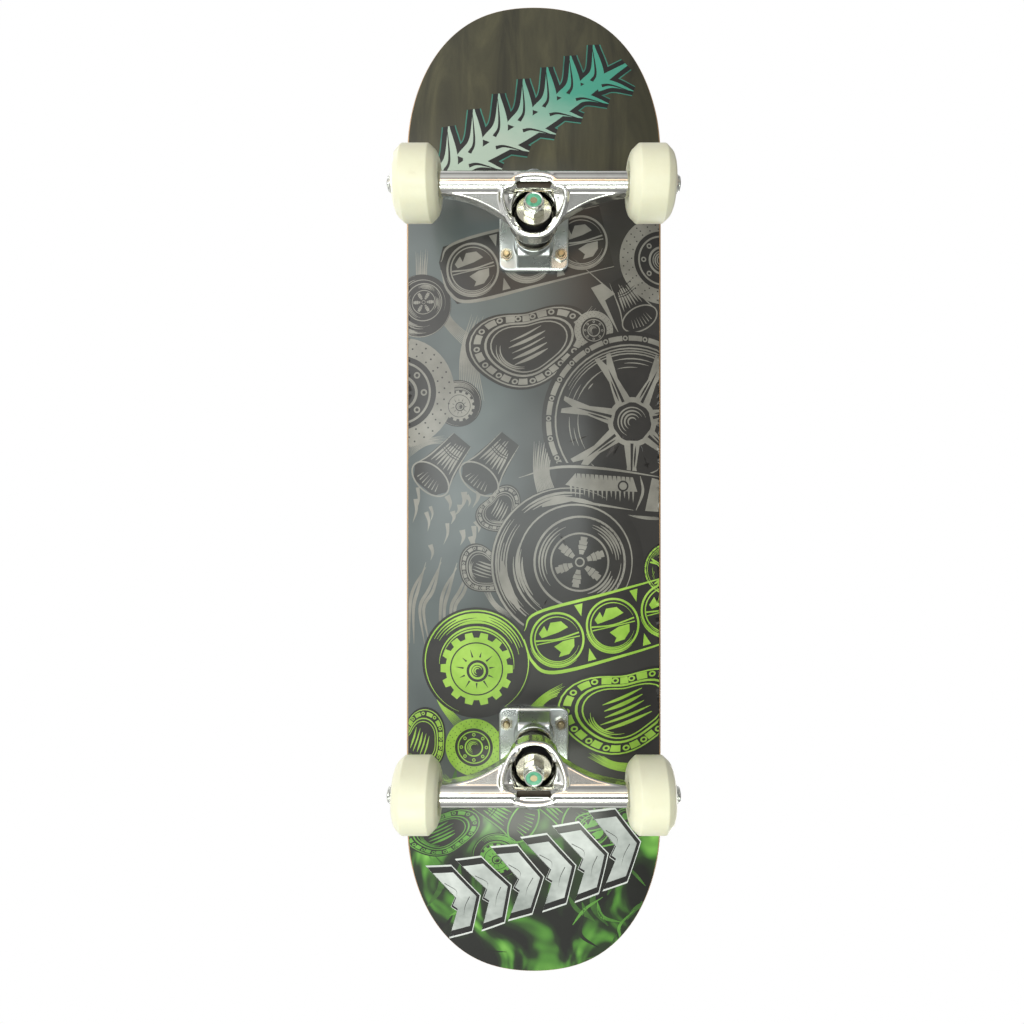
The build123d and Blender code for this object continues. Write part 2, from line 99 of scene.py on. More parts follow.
# ---------------------------------------------------------------- materials
class Nodes:
    """A node tree and short ways to add nodes to it."""

    def __init__(self, tree):
        self.nodes, self.links = tree.nodes, tree.links

    def node(self, kind, inputs=None, **settings):
        """A new node with its settings. Each input takes a value or another node's output."""
        made = self.nodes.new(f"ShaderNode{kind}")
        for name, value in settings.items():
            setattr(made, name, value)
        for socket, value in (inputs or {}).items():
            self.feed(made.inputs[socket], value)
        return made

    def feed(self, socket, value):
        if isinstance(value, bpy.types.NodeSocket):
            self.links.new(value, socket)
        elif socket.type == "RGBA":
            socket.default_value = (*value, 1.0)
        else:
            socket.default_value = value

    def spread(self, value, low, high, to_low=0.0, to_high=1.0, smooth=False):
        inputs = {"Value": value, "From Min": low, "From Max": high, "To Min": to_low, "To Max": to_high}
        step = "SMOOTHSTEP" if smooth else "LINEAR"
        return self.node("MapRange", inputs, interpolation_type=step).outputs["Result"]

    def math(self, operation, first, second):
        return self.node("Math", {0: first, 1: second}, operation=operation).outputs[0]

    def ramp(self, value, *stops):
        made = self.node("ValToRGB", {"Fac": value})
        elements = made.color_ramp.elements
        while len(elements) < len(stops):
            elements.new(0.5)
        for element, (position, colour) in zip(elements, stops):
            element.position = position
            element.color = (*colour, 1.0)
        return made.outputs["Color"]

    def mix(self, factor, first, second):
        made = self.node("Mix", data_type="RGBA")
        for socket, value in (("Factor", factor), (6, first), (7, second)):
            self.feed(made.inputs[socket], value)
        return made.outputs[2]


class Look(Nodes):
    """A Principled material, with its textures in the object's own space."""

    def __init__(self, name, **sockets):
        self.material = bpy.data.materials.new(name)
        self.material.use_nodes = True
        super().__init__(self.material.node_tree)
        self.shader = self.nodes["Principled BSDF"]
        for socket, value in sockets.items():
            self.feed(self.shader.inputs[socket.replace("_", " ")], value)
        self.place = self.node("TexCoord").outputs["Object"]

    def stretch(self, x, y, z):
        return self.node("Mapping", {"Vector": self.place, "Scale": (x, y, z)}).outputs["Vector"]

    def noise(self, scale, detail=4.0, rough=0.55, distortion=0.0, vector=None):
        inputs = {"Scale": scale, "Detail": detail, "Roughness": rough, "Distortion": distortion}
        return self.node("TexNoise", {**inputs, "Vector": vector or self.place}).outputs["Fac"]

    def cells(self, scale):
        return self.node("TexVoronoi", {"Scale": scale, "Vector": self.place}).outputs["Distance"]

    def axis(self, name):
        return self.node("SeparateXYZ", {0: self.place}).outputs[name]

    def drive(self, socket, value):
        self.links.new(value, self.shader.inputs[socket])

    def bump(self, height, strength, distance_mm):
        """Adds relief on top of any the material already has."""
        inputs = {"Strength": strength, "Distance": distance_mm * MM, "Height": height}
        normal = self.shader.inputs["Normal"]
        if normal.links:
            inputs["Normal"] = normal.links[0].from_socket
        self.links.new(self.node("Bump", inputs).outputs["Normal"], normal)


def linear(red, green, blue):
    """A colour given as it looks on a screen, 0 to 255, turned into the shader's linear values."""
    def channel(value):
        share = value / 255
        return share / 12.92 if share <= 0.04045 else ((share + 0.055) / 1.055) ** 2.4
    return tuple(channel(value) for value in (red, green, blue))


def print_ground():
    """The printed film's background: dark wood tones at the nose, slate in the middle, green at the tail.
    Towards +X the slate gives way to a lighter blue-grey, a painted reflection of haze on the gloss.
    """
    look = Look("print_ground", **PRINT_GLOSS)
    grain = look.noise(14.0, 6, 0.6, 0.6, look.stretch(3.2, 0.5, 1))
    nose = look.ramp(grain, (0.3, linear(40, 38, 22)), (0.55, linear(72, 69, 46)), (0.8, linear(100, 96, 66)))
    cloud = look.noise(9.0, 3)
    slate = look.ramp(cloud, (0.35, linear(32, 29, 25)), (0.65, linear(46, 44, 41)))
    # Painted reflection: a lighter blue-grey, laid over the slate towards +X, that stands in for haze
    # reflected on the film's gloss
    reflected_haze = look.ramp(cloud, (0.35, linear(70, 77, 77)), (0.65, linear(90, 98, 97)))
    across = look.math("ADD", look.axis("X"), look.math("MULTIPLY", look.axis("Y"), 0.18))
    middle = look.mix(look.spread(across, -0.02, 0.05, smooth=True), slate, reflected_haze)
    tail = look.ramp(
        look.noise(16.0, 2, 0.5, 2.6, look.stretch(1.0, 0.42, 1)),
        (0.4, linear(20, 22, 14)), (0.51, linear(34, 54, 22)),
        (0.6, linear(78, 136, 46)), (0.74, linear(132, 196, 84)),
    )
    length = look.axis("Y")
    colour = look.mix(look.spread(length, *NOSE_FADE, smooth=True), middle, nose)
    colour = look.mix(look.spread(length, *TAIL_FADE, smooth=True), colour, tail)
    look.drive("Base Color", colour)
    look.drive("Roughness", look.spread(look.noise(60.0), 0.3, 0.7, 0.36, 0.46))
    look.bump(look.noise(90.0, 3, 0.6, 0.0, look.stretch(1, 0.2, 1)), 0.12, 0.12)
    return look.material


def ink(name, low, high, scale=40.0, fade=None):
    """Printed ink: a mottled colour, or one that fades to the other along the board."""
    look = Look(f"ink_{name}", **PRINT_GLOSS)
    value = look.noise(scale, 4, 0.6)
    if fade:
        slanted = look.math("ADD", look.axis("Y"), look.math("MULTIPLY", look.axis("X"), -0.6))
        run = look.math("MULTIPLY", look.spread(slanted, *fade), 0.8)
        value = look.math("ADD", look.math("MULTIPLY", value, 0.25), run)
    look.drive("Base Color", look.ramp(value, (0.3, linear(*low)), (0.7, linear(*high))))
    return look.material


def maple(name, tint, along):
    """Maple veneer: long fine grain, and pores that catch the light."""
    look = Look(name, Roughness=0.5, Coat_Weight=0.1)
    stretched = look.stretch(*((60, 4, 60) if along else (4, 60, 60)))
    grain = look.noise(6.0, 8, 0.65, 0.5, stretched)
    pores = look.noise(30.0, 3, 0.5, 0.0, stretched)
    dark = linear(*(round(v * 0.78) for v in tint))
    colour = look.ramp(grain, (0.3, dark), (0.62, linear(*tint)))
    look.drive("Base Color", look.mix(look.spread(pores, 0.35, 0.45, 0.35, 0.0), colour, dark))
    look.drive("Roughness", look.spread(grain, 0.3, 0.7, 0.42, 0.6))
    look.bump(pores, 0.25, 0.08)
    return look.material


def grit():
    """Grip tape: coarse black grains with a few bright facets, and grey scuffs where feet turn."""
    look = Look("grip_grit", Roughness=0.9, Specular_IOR_Level=0.35)
    grains = look.cells(1500.0)
    scuff = look.spread(look.noise(13.0, 5, 0.7), 0.52, 0.72, 0.0, 0.55)
    base = look.ramp(grains, (0.1, linear(44, 44, 45)), (0.5, linear(17, 17, 18)))
    look.drive("Base Color", look.mix(scuff, base, linear(62, 61, 60)))
    look.drive("Roughness", look.spread(grains, 0.0, 0.4, 0.55, 0.95))
    look.bump(grains, 0.9, 0.35)
    look.bump(look.noise(500.0, 3), 0.4, 0.25)
    return look.material


def metal(name, colour, rough, grain, dirt=0.0, waves=None):
    """Bare metal with stains in random patches, a fine grain and slow waves, both given as (strength, scale).
    """
    look = Look(name, Metallic=1.0, Roughness=rough, Base_Color=linear(*colour))
    stain = look.noise(26.0, 6, 0.65)
    if dirt:
        darker = linear(*(v * 0.62 for v in colour))
        look.drive("Base Color", look.mix(look.spread(stain, 0.45, 0.75, 0.0, dirt), linear(*colour), darker))
    look.drive("Roughness", look.spread(stain, 0.3, 0.7, rough * 0.8, rough * 1.3))
    strength, scale = grain
    look.bump(look.noise(scale, 5, 0.6), strength, 0.15)
    if waves:
        strength, scale = waves
        look.bump(look.noise(scale, 2, 0.4), strength, 0.6)
    return look.material


def plastic(name, colour, rough):
    look = Look(name, Roughness=rough)
    tone = look.noise(200.0, 4)
    brighter = tuple(min(255, v * 1.3 + 4) for v in colour)
    look.drive("Base Color", look.ramp(tone, (0.35, linear(*colour)), (0.7, linear(*brighter))))
    look.bump(tone, 0.2, 0.08)
    return look.material


def urethane(name):
    """Cast wheel urethane: cream, slightly see-through, with road dust and fine scuffs."""
    look = Look(name, Roughness=0.38, Subsurface_Weight=0.14, Subsurface_Scale=0.004)
    look.feed(look.shader.inputs["Subsurface Radius"], (1.0, 0.8, 0.5))
    stops = (0.3, linear(236, 234, 208)), (0.62, linear(231, 228, 200)), (0.85, linear(214, 208, 178))
    look.drive("Base Color", look.ramp(look.noise(34.0, 6, 0.7), *stops))
    look.drive("Roughness", look.spread(look.noise(120.0, 5), 0.35, 0.7, 0.32, 0.5))
    look.bump(look.noise(260.0, 4), 0.08, 0.1)
    return look.material


# Colour and roughness, then for a metal its grain, its dirt and its waves.
METALS = {
    "polished_aluminium": ((236, 236, 230), 0.13, (0.06, 420.0), 0.25, (0.22, 70.0)),
    "cast_aluminium": ((214, 219, 217), 0.26, (0.45, 330.0), 0.35, (0.2, 130.0)),
    "zinc_steel": ((224, 226, 218), 0.17, (0.03, 700.0), 0.2),
    "washer_steel": ((212, 208, 190), 0.2, (0.02, 700.0), 0.3),
    "bolt_steel": ((168, 168, 164), 0.3, (0.12, 600.0), 0.3),
    "brass_zinc": ((202, 186, 148), 0.26, (0.1, 500.0), 0.4),
    "bearing_steel": ((196, 196, 196), 0.18, (0.04, 600.0)),
}
PLASTICS = {
    # Not a plastic: painted shade, a dark brown laid on the walls of the window cut into the hanger
    "cavity_shade": ((46, 38, 26), 0.6),
    "black_plastic": ((20, 20, 20), 0.5),
    "black_shield": ((22, 22, 23), 0.4),
    "black_urethane": ((17, 17, 18), 0.42),
    "teal_nylon": ((84, 152, 120), 0.4),
}
LOOKS = {
    "print": print_ground(),
    "grip": grit(),
    **{name: metal(name, *finish) for name, finish in METALS.items()},
    **{name: plastic(name, *finish) for name, finish in PLASTICS.items()},
    "cream_urethane": urethane("cream_urethane"),
}
OUTER_PLY, CROSS_PLY, PALE_PLY, CORE_PLY = (206, 164, 118), (178, 128, 84), (214, 174, 128), (196, 150, 104)
PLY_TINTS = [OUTER_PLY, CROSS_PLY, PALE_PLY, CORE_PLY, PALE_PLY, CROSS_PLY, OUTER_PLY]


# ---------------------------------------------------------------- mesh helpers
def make_object(name, shape, material, body=None, smooth_angle=35.0):
    """An object from a shape in millimetres, smooth across all but its sharp edges. It rides on the body."""
    mesh = shape_mesh(name, shape)
    finish_mesh(mesh, material, smooth_angle)
    return place_object(name, mesh, body)


def shape_mesh(name, shape):
    """A mesh in metres, with every face turned outwards, from (vertices, faces) in millimetres."""
    vertices, faces = shape
    mesh = bpy.data.meshes.new(name)
    mesh.from_pydata([tuple(c * MM for c in v) for v in vertices], [], faces)
    work = bmesh.new()
    work.from_mesh(mesh)
    bmesh.ops.recalc_face_normals(work, faces=work.faces[:])
    work.to_mesh(mesh)
    work.free()
    return mesh


def finish_mesh(mesh, material, smooth_angle):
    mesh.materials.clear()
    mesh.materials.append(material)
    mesh.validate()
    mesh.shade_smooth()
    mesh.set_sharp_from_angle(angle=math.radians(smooth_angle))


def place_object(name, mesh, body=None):
    thing = bpy.data.objects.new(name, mesh)
    bpy.context.scene.collection.objects.link(thing)
    if body:
        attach(thing, body)
    return thing


def stand_for(node):
    """Hides a CAD node, whose place a piece of this script takes."""
    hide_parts(node)


def cut_away(thing, shape, material):
    """Adds a modifier that cuts a shape out of an object. The cut's walls take the material."""
    tool = place_object("cutter", shape_mesh("cutter", shape))
    tool.data.materials.append(material)
    cut = thing.modifiers.new("cut", "BOOLEAN")
    cut.object = tool
    cut.operation = "DIFFERENCE"
    cut.solver = "EXACT"
    cut.material_mode = "TRANSFER"


def apply_modifiers(thing):
    """Bakes an object's modifiers into its mesh, and deletes what they cut with."""
    evaluated = thing.evaluated_get(bpy.context.evaluated_depsgraph_get())
    mesh = bpy.data.meshes.new_from_object(evaluated)
    tools = [modifier.object for modifier in thing.modifiers if modifier.type == "BOOLEAN"]
    thing.modifiers.clear()
    thing.data = mesh
    for tool in tools:
        bpy.data.objects.remove(tool)


def skin(rings, closed=False):
    """(vertices, faces) of the surface that joins each ring of points to the next one."""
    vertices = [tuple(point) for ring in rings for point in ring]
    size, count = len(rings[0]), len(rings)
    faces = []
    for near in range(count if closed else count - 1):
        far = (near + 1) % count
        for index in range(size):
            after = (index + 1) % size
            faces.append((near * size + index, far * size + index, far * size + after, near * size + after))
    return vertices, faces


def capped(rings):
    """A skin with both its ends closed."""
    vertices, faces = skin(rings)
    size = len(rings[0])
    last = len(vertices) - size
    faces.append(tuple(range(size)))
    faces.append(tuple(range(last, last + size)))
    return vertices, faces


def circle(radius, station, steps):
    return [(radius * math.cos(a), radius * math.sin(a), station) for a in angles(steps)]


def angles(steps):
    return [2 * math.pi * step / steps for step in range(steps)]


def turned(profile, steps):
    """A closed profile of (station, radius) turned about the local z axis."""
    sections = []
    for angle in angles(steps):
        cos, sin = math.cos(angle), math.sin(angle)
        sections.append([(radius * cos, radius * sin, station) for station, radius in profile])
    return skin(sections, closed=True)


def cylinder(start, end, radius, steps=40):
    return capped([circle(radius, start, steps), circle(radius, end, steps)])


def spline_point(a, b, c, d, t):
    """A point between b and c on the smooth curve through all four."""
    return 0.5 * (2 * b + (c - a) * t + (2 * a - 5 * b + 4 * c - d) * t**2 + (3 * b - a - 3 * c + d) * t**3)


def rounded(points, radius, steps=4):
    """A closed outline with its corners rounded. A corner given as (a, b, r) keeps its own radius."""
    result = []
    count = len(points)
    for index, corner in enumerate(points):
        here = Vector(corner[:2])
        size = corner[2] if len(corner) > 2 else radius
        before, after = Vector(points[index - 1][:2]), Vector(points[(index + 1) % count][:2])
        to_before, to_after = (before - here), (after - here)
        reach = min(size, to_before.length * 0.45, to_after.length * 0.45)
        if reach <= 0:
            result.append(tuple(here))
            continue
        start, end = here + to_before.normalized() * reach, here + to_after.normalized() * reach
        for step in range(steps + 1):
            share = step / steps
            result.append(tuple(start * (1 - share) ** 2 + here * 2 * share * (1 - share) + end * share**2))
    return result


def half_turn(end):
    """What turns the front truck's place into the place of the truck at this end."""
    return Matrix.Identity(4) if end > 0 else Matrix.Rotation(math.pi, 4, "Z")


def truck_matrix(end):
    """From the frame that a truck is drawn in, beside its inner bolts, to the board's frame."""
    return half_turn(end) @ Matrix.Translation((0, INNER_BOLT_Y, DECK_UNDERSIDE))


def kingpin_matrix(end):
    """The kingpin's own line: its z axis runs down it, away from the deck."""
    down = Vector((0, math.sin(KINGPIN_TILT), -math.cos(KINGPIN_TILT)))
    across = Vector((1, 0, 0))
    up = down.cross(across)
    turn = Matrix((across, up, down)).transposed().to_4x4()
    return truck_matrix(end) @ Matrix.Translation((0, KINGPIN_FOOT, 0)) @ turn


def axle_matrix(end, x, outward):
    """A line along the axle that starts at x and points outward, away from the board's middle."""
    turn = Matrix.Rotation(math.radians(90.0) * outward, 4, "Y")
    y = end * (INNER_BOLT_Y + AXLE_OUTWARD)
    return Matrix.Translation((x, y, DECK_UNDERSIDE - AXLE_DROP)) @ turn


def moved(shape, matrix):
    vertices, faces = shape
    return [tuple(matrix @ Vector(v)) for v in vertices], faces


def joined(shapes):
    vertices, faces = [], []
    for some_vertices, some_faces in shapes:
        start = len(vertices)
        vertices.extend(some_vertices)
        faces.extend(tuple(start + index for index in face) for face in some_faces)
    return vertices, faces


def thread(radius, pitch, start, end, depth, steps=36, rows=6):
    """A screw thread as one closed skin of crests and roots between two stations. Its last turn fades out."""
    levels = round((end - start) / pitch * rows)
    rings = []
    for level in range(levels + 1):
        station = start + (end - start) * level / levels
        fade = min(1.0, (levels - level) / rows)
        ring = []
        for step, angle in enumerate(angles(steps)):
            crest = abs(2 * ((level / rows + step / steps) % 1.0) - 1)
            size = radius - depth * (1 - crest) - (1 - fade) * depth
            ring.append((size * math.cos(angle), size * math.sin(angle), station))
        rings.append(ring)
    return capped(rings)


# ---------------------------------------------------------------- deck
def deck_height(x, y, offset):
    """Height of the surface that lies a given offset above the wood's underside, at a place on the deck."""
    rise = 0.0
    radius = CONCAVE_RADIUS - offset
    beyond = max(0.0, abs(x) - CONCAVE_FLAT)
    level = WOOD_UNDERSIDE + CONCAVE_RADIUS - math.sqrt(radius**2 - beyond**2)
    out = abs(y) - KICK_START
    if out > 0:
        bend_height = WOOD_UNDERSIDE + KICK_RADIUS
        arm = bend_height - level
        bend_end = arm * math.sin(KICK_ANGLE)
        if out <= bend_end:
            level = bend_height - math.sqrt(arm**2 - out**2)
        else:
            rise = (out - bend_end) * math.tan(KICK_ANGLE)
            level = bend_height - arm * math.cos(KICK_ANGLE)
    return level + rise


def end_curve(share, inset):
    """A point on the rounded nose, from the rail at 0 to the tip at 1."""
    half_width, tip = HALF_WIDTH - inset, HALF_LENGTH - inset
    corners = [(half_width, RAIL_END), (half_width, RAIL_END + RAIL_HANDLE), (TIP_HANDLE, tip), (0.0, tip)]
    weights = [(1 - share) ** 3, 3 * share * (1 - share) ** 2, 3 * share**2 * (1 - share), share**3]
    return tuple(sum(w * c[axis] for w, c in zip(weights, corners)) for axis in (0, 1))


def outline_points(inset, rail_steps=64, end_steps=36):
    """The deck's outline, once round."""
    quarter = [end_curve(step / end_steps, inset) for step in range(end_steps)]
    rail = [(HALF_WIDTH - inset, RAIL_END * (2 * step / rail_steps - 1)) for step in range(1, rail_steps)]
    right = rail + quarter
    nose = [(-x, y) for x, y in reversed(quarter)]
    left = [(-x, -y) for x, y in rail]
    tail_left = [(-x, -y) for x, y in quarter]
    tail_right = [(x, -y) for x, y in reversed(quarter)]
    tip = [(0.0, HALF_LENGTH - inset)]
    return right + tip + nose + left + tail_left + [(0.0, -tip[0][1])] + tail_right


def edge_inset(offset):
    """How far the deck's rounded edge stands in from its widest outline."""
    from_face = min(offset, DECK_THICKNESS - offset)
    if from_face >= ROUNDING_HEIGHT:
        return 0.0
    share = (ROUNDING_HEIGHT - max(0.0, from_face)) / ROUNDING_HEIGHT
    return FACE_INSET * (1 - math.sqrt(max(0.0, 1 - share**2)))


def deck_layer(name, low, high, material, rings=13, rows=3):
    """A closed layer of the deck between two offsets, with the share of the rounded edge that falls on it."""
    spine_end = HALF_LENGTH - HALF_WIDTH
    vertices, faces, known = [], [], {}

    def vertex(x, y, offset):
        key = (round(x, 3), round(y, 3), round(offset, 4))
        if key not in known:
            known[key] = len(vertices)
            vertices.append((x, y, deck_height(x, y, offset)))
        return known[key]

    def face(corners, flip):
        kept = [c for index, c in enumerate(corners) if c != corners[index - 1]]
        if len(set(kept)) > 2:
            faces.append(tuple(reversed(kept)) if flip else tuple(kept))

    def loop(inset, offset, share):
        found = []
        for x, y in outline_points(inset):
            spine_y = max(-spine_end, min(spine_end, y))
            found.append(vertex(x * share, spine_y + (y - spine_y) * share, offset))
        return found

    def band(outer, inner, flip):
        for index in range(len(outer)):
            after = (index + 1) % len(outer)
            face([outer[index], outer[after], inner[after], inner[index]], flip)

    for offset, flip in ((low, True), (high, False)):
        loops = [loop(edge_inset(offset), offset, 1 - ring / rings) for ring in range(rings + 1)]
        for outer, inner in zip(loops, loops[1:]):
            band(outer, inner, flip)
    walls = []
    for row in range(rows + 1):
        offset = low + (high - low) * row / rows
        walls.append(loop(edge_inset(offset), offset, 1.0))
    for lower, upper in zip(walls, walls[1:]):
        band(lower, upper, False)
    return make_object(name, (vertices, faces), material, "board", 50.0)


def build_deck():
    film = deck_layer("underside_print", -PRINT_THICKNESS, 0.0, LOOKS["print"], rows=1)
    stand_for("bottom_print")
    for index, tint in enumerate(PLY_TINTS):
        number = index + 1
        look = maple(f"maple_{number}", tint, along=tint != CROSS_PLY)
        low = index * PLY_THICKNESS
        ply = deck_layer(f"veneer_{number}", low, low + PLY_THICKNESS, look)
        stand_for(f"ply_{number}")
    grip = deck_layer("grip_sheet", DECK_THICKNESS, DECK_THICKNESS + GRIP_THICKNESS, LOOKS["grip"], rows=1)
    cut_bolt_holes(grip)
    stand_for("grip_tape")


def bolt_places(end):
    """The middles of one truck's four bolts."""
    for x in (-BOLT_SPACING_X / 2, BOLT_SPACING_X / 2):
        for out in (0.0, BOLT_SPACING_Y):
            yield x, end * (INNER_BOLT_Y + out)


def cut_bolt_holes(grip):
    cutters = []
    for end in TRUCKS.values():
        for x, y in bolt_places(end):
            top = Matrix.Translation((x, y, deck_height(x, y, DECK_THICKNESS)))
            cutters.append(moved(cylinder(-3, 3, GRIP_HOLE_RADIUS), top))
    cut_away(grip, joined(cutters), LOOKS["grip"])
    apply_modifiers(grip)
    finish_mesh(grip.data, LOOKS["grip"], 40.0)


# ---------------------------------------------------------------- printed drawing
# The drawing's plane is the underside as it is looked at: u to the right (towards -X), v towards the nose.
# Each motif is drawn about its own middle, in units of its own size, and a Pen places it on the board.
# Inks lie in layers below the film. Within a layer, each shape has a depth of its own, so that none coincide.
ART_LAYER = 0.036
ART_SPREAD = 0.4
ART_STEPS = 24
# The print stops short of the deck's rails and tips. Long faces are split, to follow the deck's curves.
ART_EDGE = 97.4
ART_END = 396.5
ART_MAX_SPAN = 4.5
PATH_STEPS = 7
INK_TONES = {
    "dark": ((24, 21, 17), (38, 35, 31)),
    "grey": ((112, 109, 101), (142, 139, 130)),
    "lime": ((128, 172, 44), (166, 206, 84)),
    "leaf": ((66, 118, 40), (112, 176, 72)),
    "moss": ((40, 70, 26), (74, 122, 46)),
    "shade": ((22, 26, 16), (34, 42, 24)),
    "mint": ((188, 206, 188), (74, 164, 140), 30.0, (0.225, 0.375)),
    "teal": ((40, 108, 92), (72, 148, 128)),
    "black": ((14, 13, 11), (24, 22, 19)),
    "silver": ((150, 156, 152), (226, 230, 226), 26.0),
    "white": ((206, 210, 206), (232, 234, 230)),
}
INKS = {name: ink(name, *tones) for name, tones in INK_TONES.items()}
SHEETS = {}
# How a shape is printed on its own motif: as its dark ground, as a dark line on it, or on top of that.
GROUND = {"ink_name": "dark", "lift": -1}
LINE = {"ink_name": "dark", "lift": 1}
TOP = {"lift": 2}


def smooth_path(points):
    """Points along a smooth curve through the given ones."""
    knots = [Vector(p) for p in points]
    knots = [knots[0] * 2 - knots[1]] + knots + [knots[-1] * 2 - knots[-2]]
    path = []
    for near in zip(knots, knots[1:], knots[2:], knots[3:]):
        path += [spline_point(*near, step / PATH_STEPS) for step in range(PATH_STEPS)]
    return path + [knots[-2]]


TAPERS = {
    "even": lambda t: 1.0,
    "both": lambda t: math.sin(math.pi * min(0.97, max(0.03, t))) ** 0.7,
    "tail": lambda t: max(0.03, 1 - t) ** 0.8,
}


class Pen:
    """Draws filled shapes in one ink, in a frame of its own that is placed, turned and sized on the board."""

    shapes_drawn = 0

    def __init__(self, ink_name, layer, place, size=1.0, turn=0.0, squash=1.0):
        self.ink, self.layer, self.place = ink_name, layer, Vector(place)
        self.size, self.turn, self.squash = size, math.radians(turn), squash

    def to_board(self, point):
        u, v = point[0] * self.size, point[1] * self.size * self.squash
        cos, sin = math.cos(self.turn), math.sin(self.turn)
        return self.place.x + u * cos - v * sin, self.place.y + u * sin + v * cos

    def add(self, points, faces, ink_name=None, lift=0):
        vertices, known = SHEETS.setdefault((ink_name or self.ink, self.layer + lift), ([], []))
        start = len(vertices)
        Pen.shapes_drawn += 1
        depth = Pen.shapes_drawn % ART_STEPS / ART_STEPS * ART_SPREAD * ART_LAYER
        vertices.extend((*self.to_board(p), depth) for p in points)
        known.extend(tuple(start + index for index in face) for face in faces)

    def fill(self, outline, **options):
        triangles = tessellate_polygon([[Vector((u, v, 0)) for u, v in outline]])
        self.add(outline, triangles, **options)

    def ribbon(self, path, half_widths, **options):
        points, faces = [], []
        for index, here in enumerate(path):
            ahead = path[min(index + 1, len(path) - 1)] - path[max(index - 1, 0)]
            side = Vector((-ahead.y, ahead.x)).normalized() * half_widths[index]
            points += [here + side, here - side]
        for index in range(len(path) - 1):
            first = 2 * index
            faces.append((first, first + 1, first + 3, first + 2))
        self.add(points, faces, **options)

    def stroke(self, points, width, taper="both", grow=0.0, **options):
        path = smooth_path(points)
        last = len(path) - 1
        widths = [width / 2 * TAPERS[taper](index / last) + grow for index in range(last + 1)]
        self.ribbon(path, widths, **options)

    def arc(self, centre, radius, width, start=0.0, end=360.0, taper="both", **options):
        steps = max(6, int(abs(end - start) / 7))
        full = abs(end - start) >= 360
        points, faces = [], []
        for step in range(steps + 1):
            half = width / 2 * (1.0 if full else TAPERS[taper](step / steps))
            ray = Vector(polar(1.0, start + (end - start) * step / steps))
            points += [Vector(centre) + ray * (radius + half), Vector(centre) + ray * (radius - half)]
        for step in range(steps):
            faces.append((2 * step, 2 * step + 2, 2 * step + 3, 2 * step + 1))
        self.add(points, faces, **options)

    def disc(self, centre, radius, **options):
        self.arc(centre, radius / 2, radius, **options)

    def hatch(self, centre, radii, width, start, end, seed, **options):
        """A bundle of tapered arcs of uneven length, as an engraver shades a round thing."""
        chance = random.Random(seed)
        for radius in radii:
            ends = sorted((start + chance.uniform(-14, 14), end + chance.uniform(-14, 14)))
            self.arc(centre, radius, width * chance.uniform(0.7, 1.3), *ends, **options)


def around(count, start=0.0):
    return [start + 360.0 * index / count for index in range(count)]


def polar(radius, degrees):
    return radius * math.cos(math.radians(degrees)), radius * math.sin(math.radians(degrees))


def draw_spoked_ring(pen, spokes=7):
    pen.disc((0, 0), 1.06, **GROUND)
    for degrees in around(26):
        pen.arc((0, 0), 0.98, 0.06, degrees, degrees + 9.5, "even")
        pen.arc(polar(0.98, degrees + 11.8), 0.022, 0.016)
    pen.arc((0, 0), 0.9, 0.02)
    pen.hatch((0, 0), (0.86, 0.83, 0.8), 0.02, 20, 150, 3)
    for number, degrees in enumerate(around(spokes, 12)):
        root, tip = Vector(polar(0.22, degrees)), Vector(polar(0.84, degrees))
        side = Vector(polar(1, degrees + 90))
        middle = (root + tip) / 2
        pen.fill([
            root - side * 0.1, middle - side * 0.055, tip - side * 0.1, tip - side * 0.05, tip * 0.86,
            tip + side * 0.05, tip + side * 0.1, middle + side * 0.055, root + side * 0.1,
        ])
        pen.stroke([root * 1.15, middle, tip * 0.8], 0.035, "tail", **LINE)
        pen.stroke([root * 1.3 + side * 0.045, middle + side * 0.03], 0.022, **LINE)
        between = degrees + 180 / spokes
        pen.hatch((0, 0), (0.74, 0.69, 0.64), 0.014, between - 9, between + 9, number)
    pen.arc((0, 0), 0.26, 0.06)
    pen.disc((0, 0), 0.2, **LINE)
    pen.hatch((0, 0), (0.17, 0.13, 0.09, 0.05), 0.022, 20, 250, 9, **TOP)


def draw_shell(pen):
    """A spiral housing with a bladed wheel in its mouth."""
    mouth = (0.16, 0.02)
    pen.disc((0, 0), 1.02, **GROUND)
    pen.arc((0, 0), 1.0, 0.03, 60, 330)
    pen.arc((0.1, 0.02), 0.76, 0.025, -60, 250)
    pen.hatch((0.0, 0), (0.95, 0.92, 0.885, 0.85, 0.815), 0.026, 150, 235, 4)
    pen.hatch((0.02, 0), (0.94, 0.9, 0.86), 0.03, 75, 125, 5)
    pen.hatch((0.06, 0), (0.78, 0.74, 0.7, 0.665), 0.03, 165, 225, 6)
    pen.arc((0.02, 0), 0.88, 0.13, 178, 222)
    pen.arc((0.05, 0.02), 0.83, 0.09, 85, 118)
    pen.disc(mouth, 0.6, ink_name="dark")
    pen.arc(mouth, 0.6, 0.03)
    pen.hatch(mouth, (0.555, 0.52, 0.485, 0.45), 0.03, 15, 70, 7, lift=1)
    pen.hatch(mouth, (0.55, 0.51, 0.47, 0.43), 0.03, -75, -15, 8, lift=1)
    pen.hatch(mouth, (0.54, 0.5, 0.46), 0.022, 120, 210, 10, lift=1)
    pen.arc(mouth, 0.38, 0.025, lift=1)
    for degrees in around(6, 20):
        for width, radius in ((30, 0.2), (24, 0.26), (16, 0.31)):
            pen.arc(mouth, radius, 0.055, degrees - width / 2, degrees + width / 2, "even", lift=1)
        pen.arc(mouth, 0.135, 0.06, degrees - 14, degrees + 14, "even", lift=1)
    pen.arc(mouth, 0.055, 0.02, lift=1)


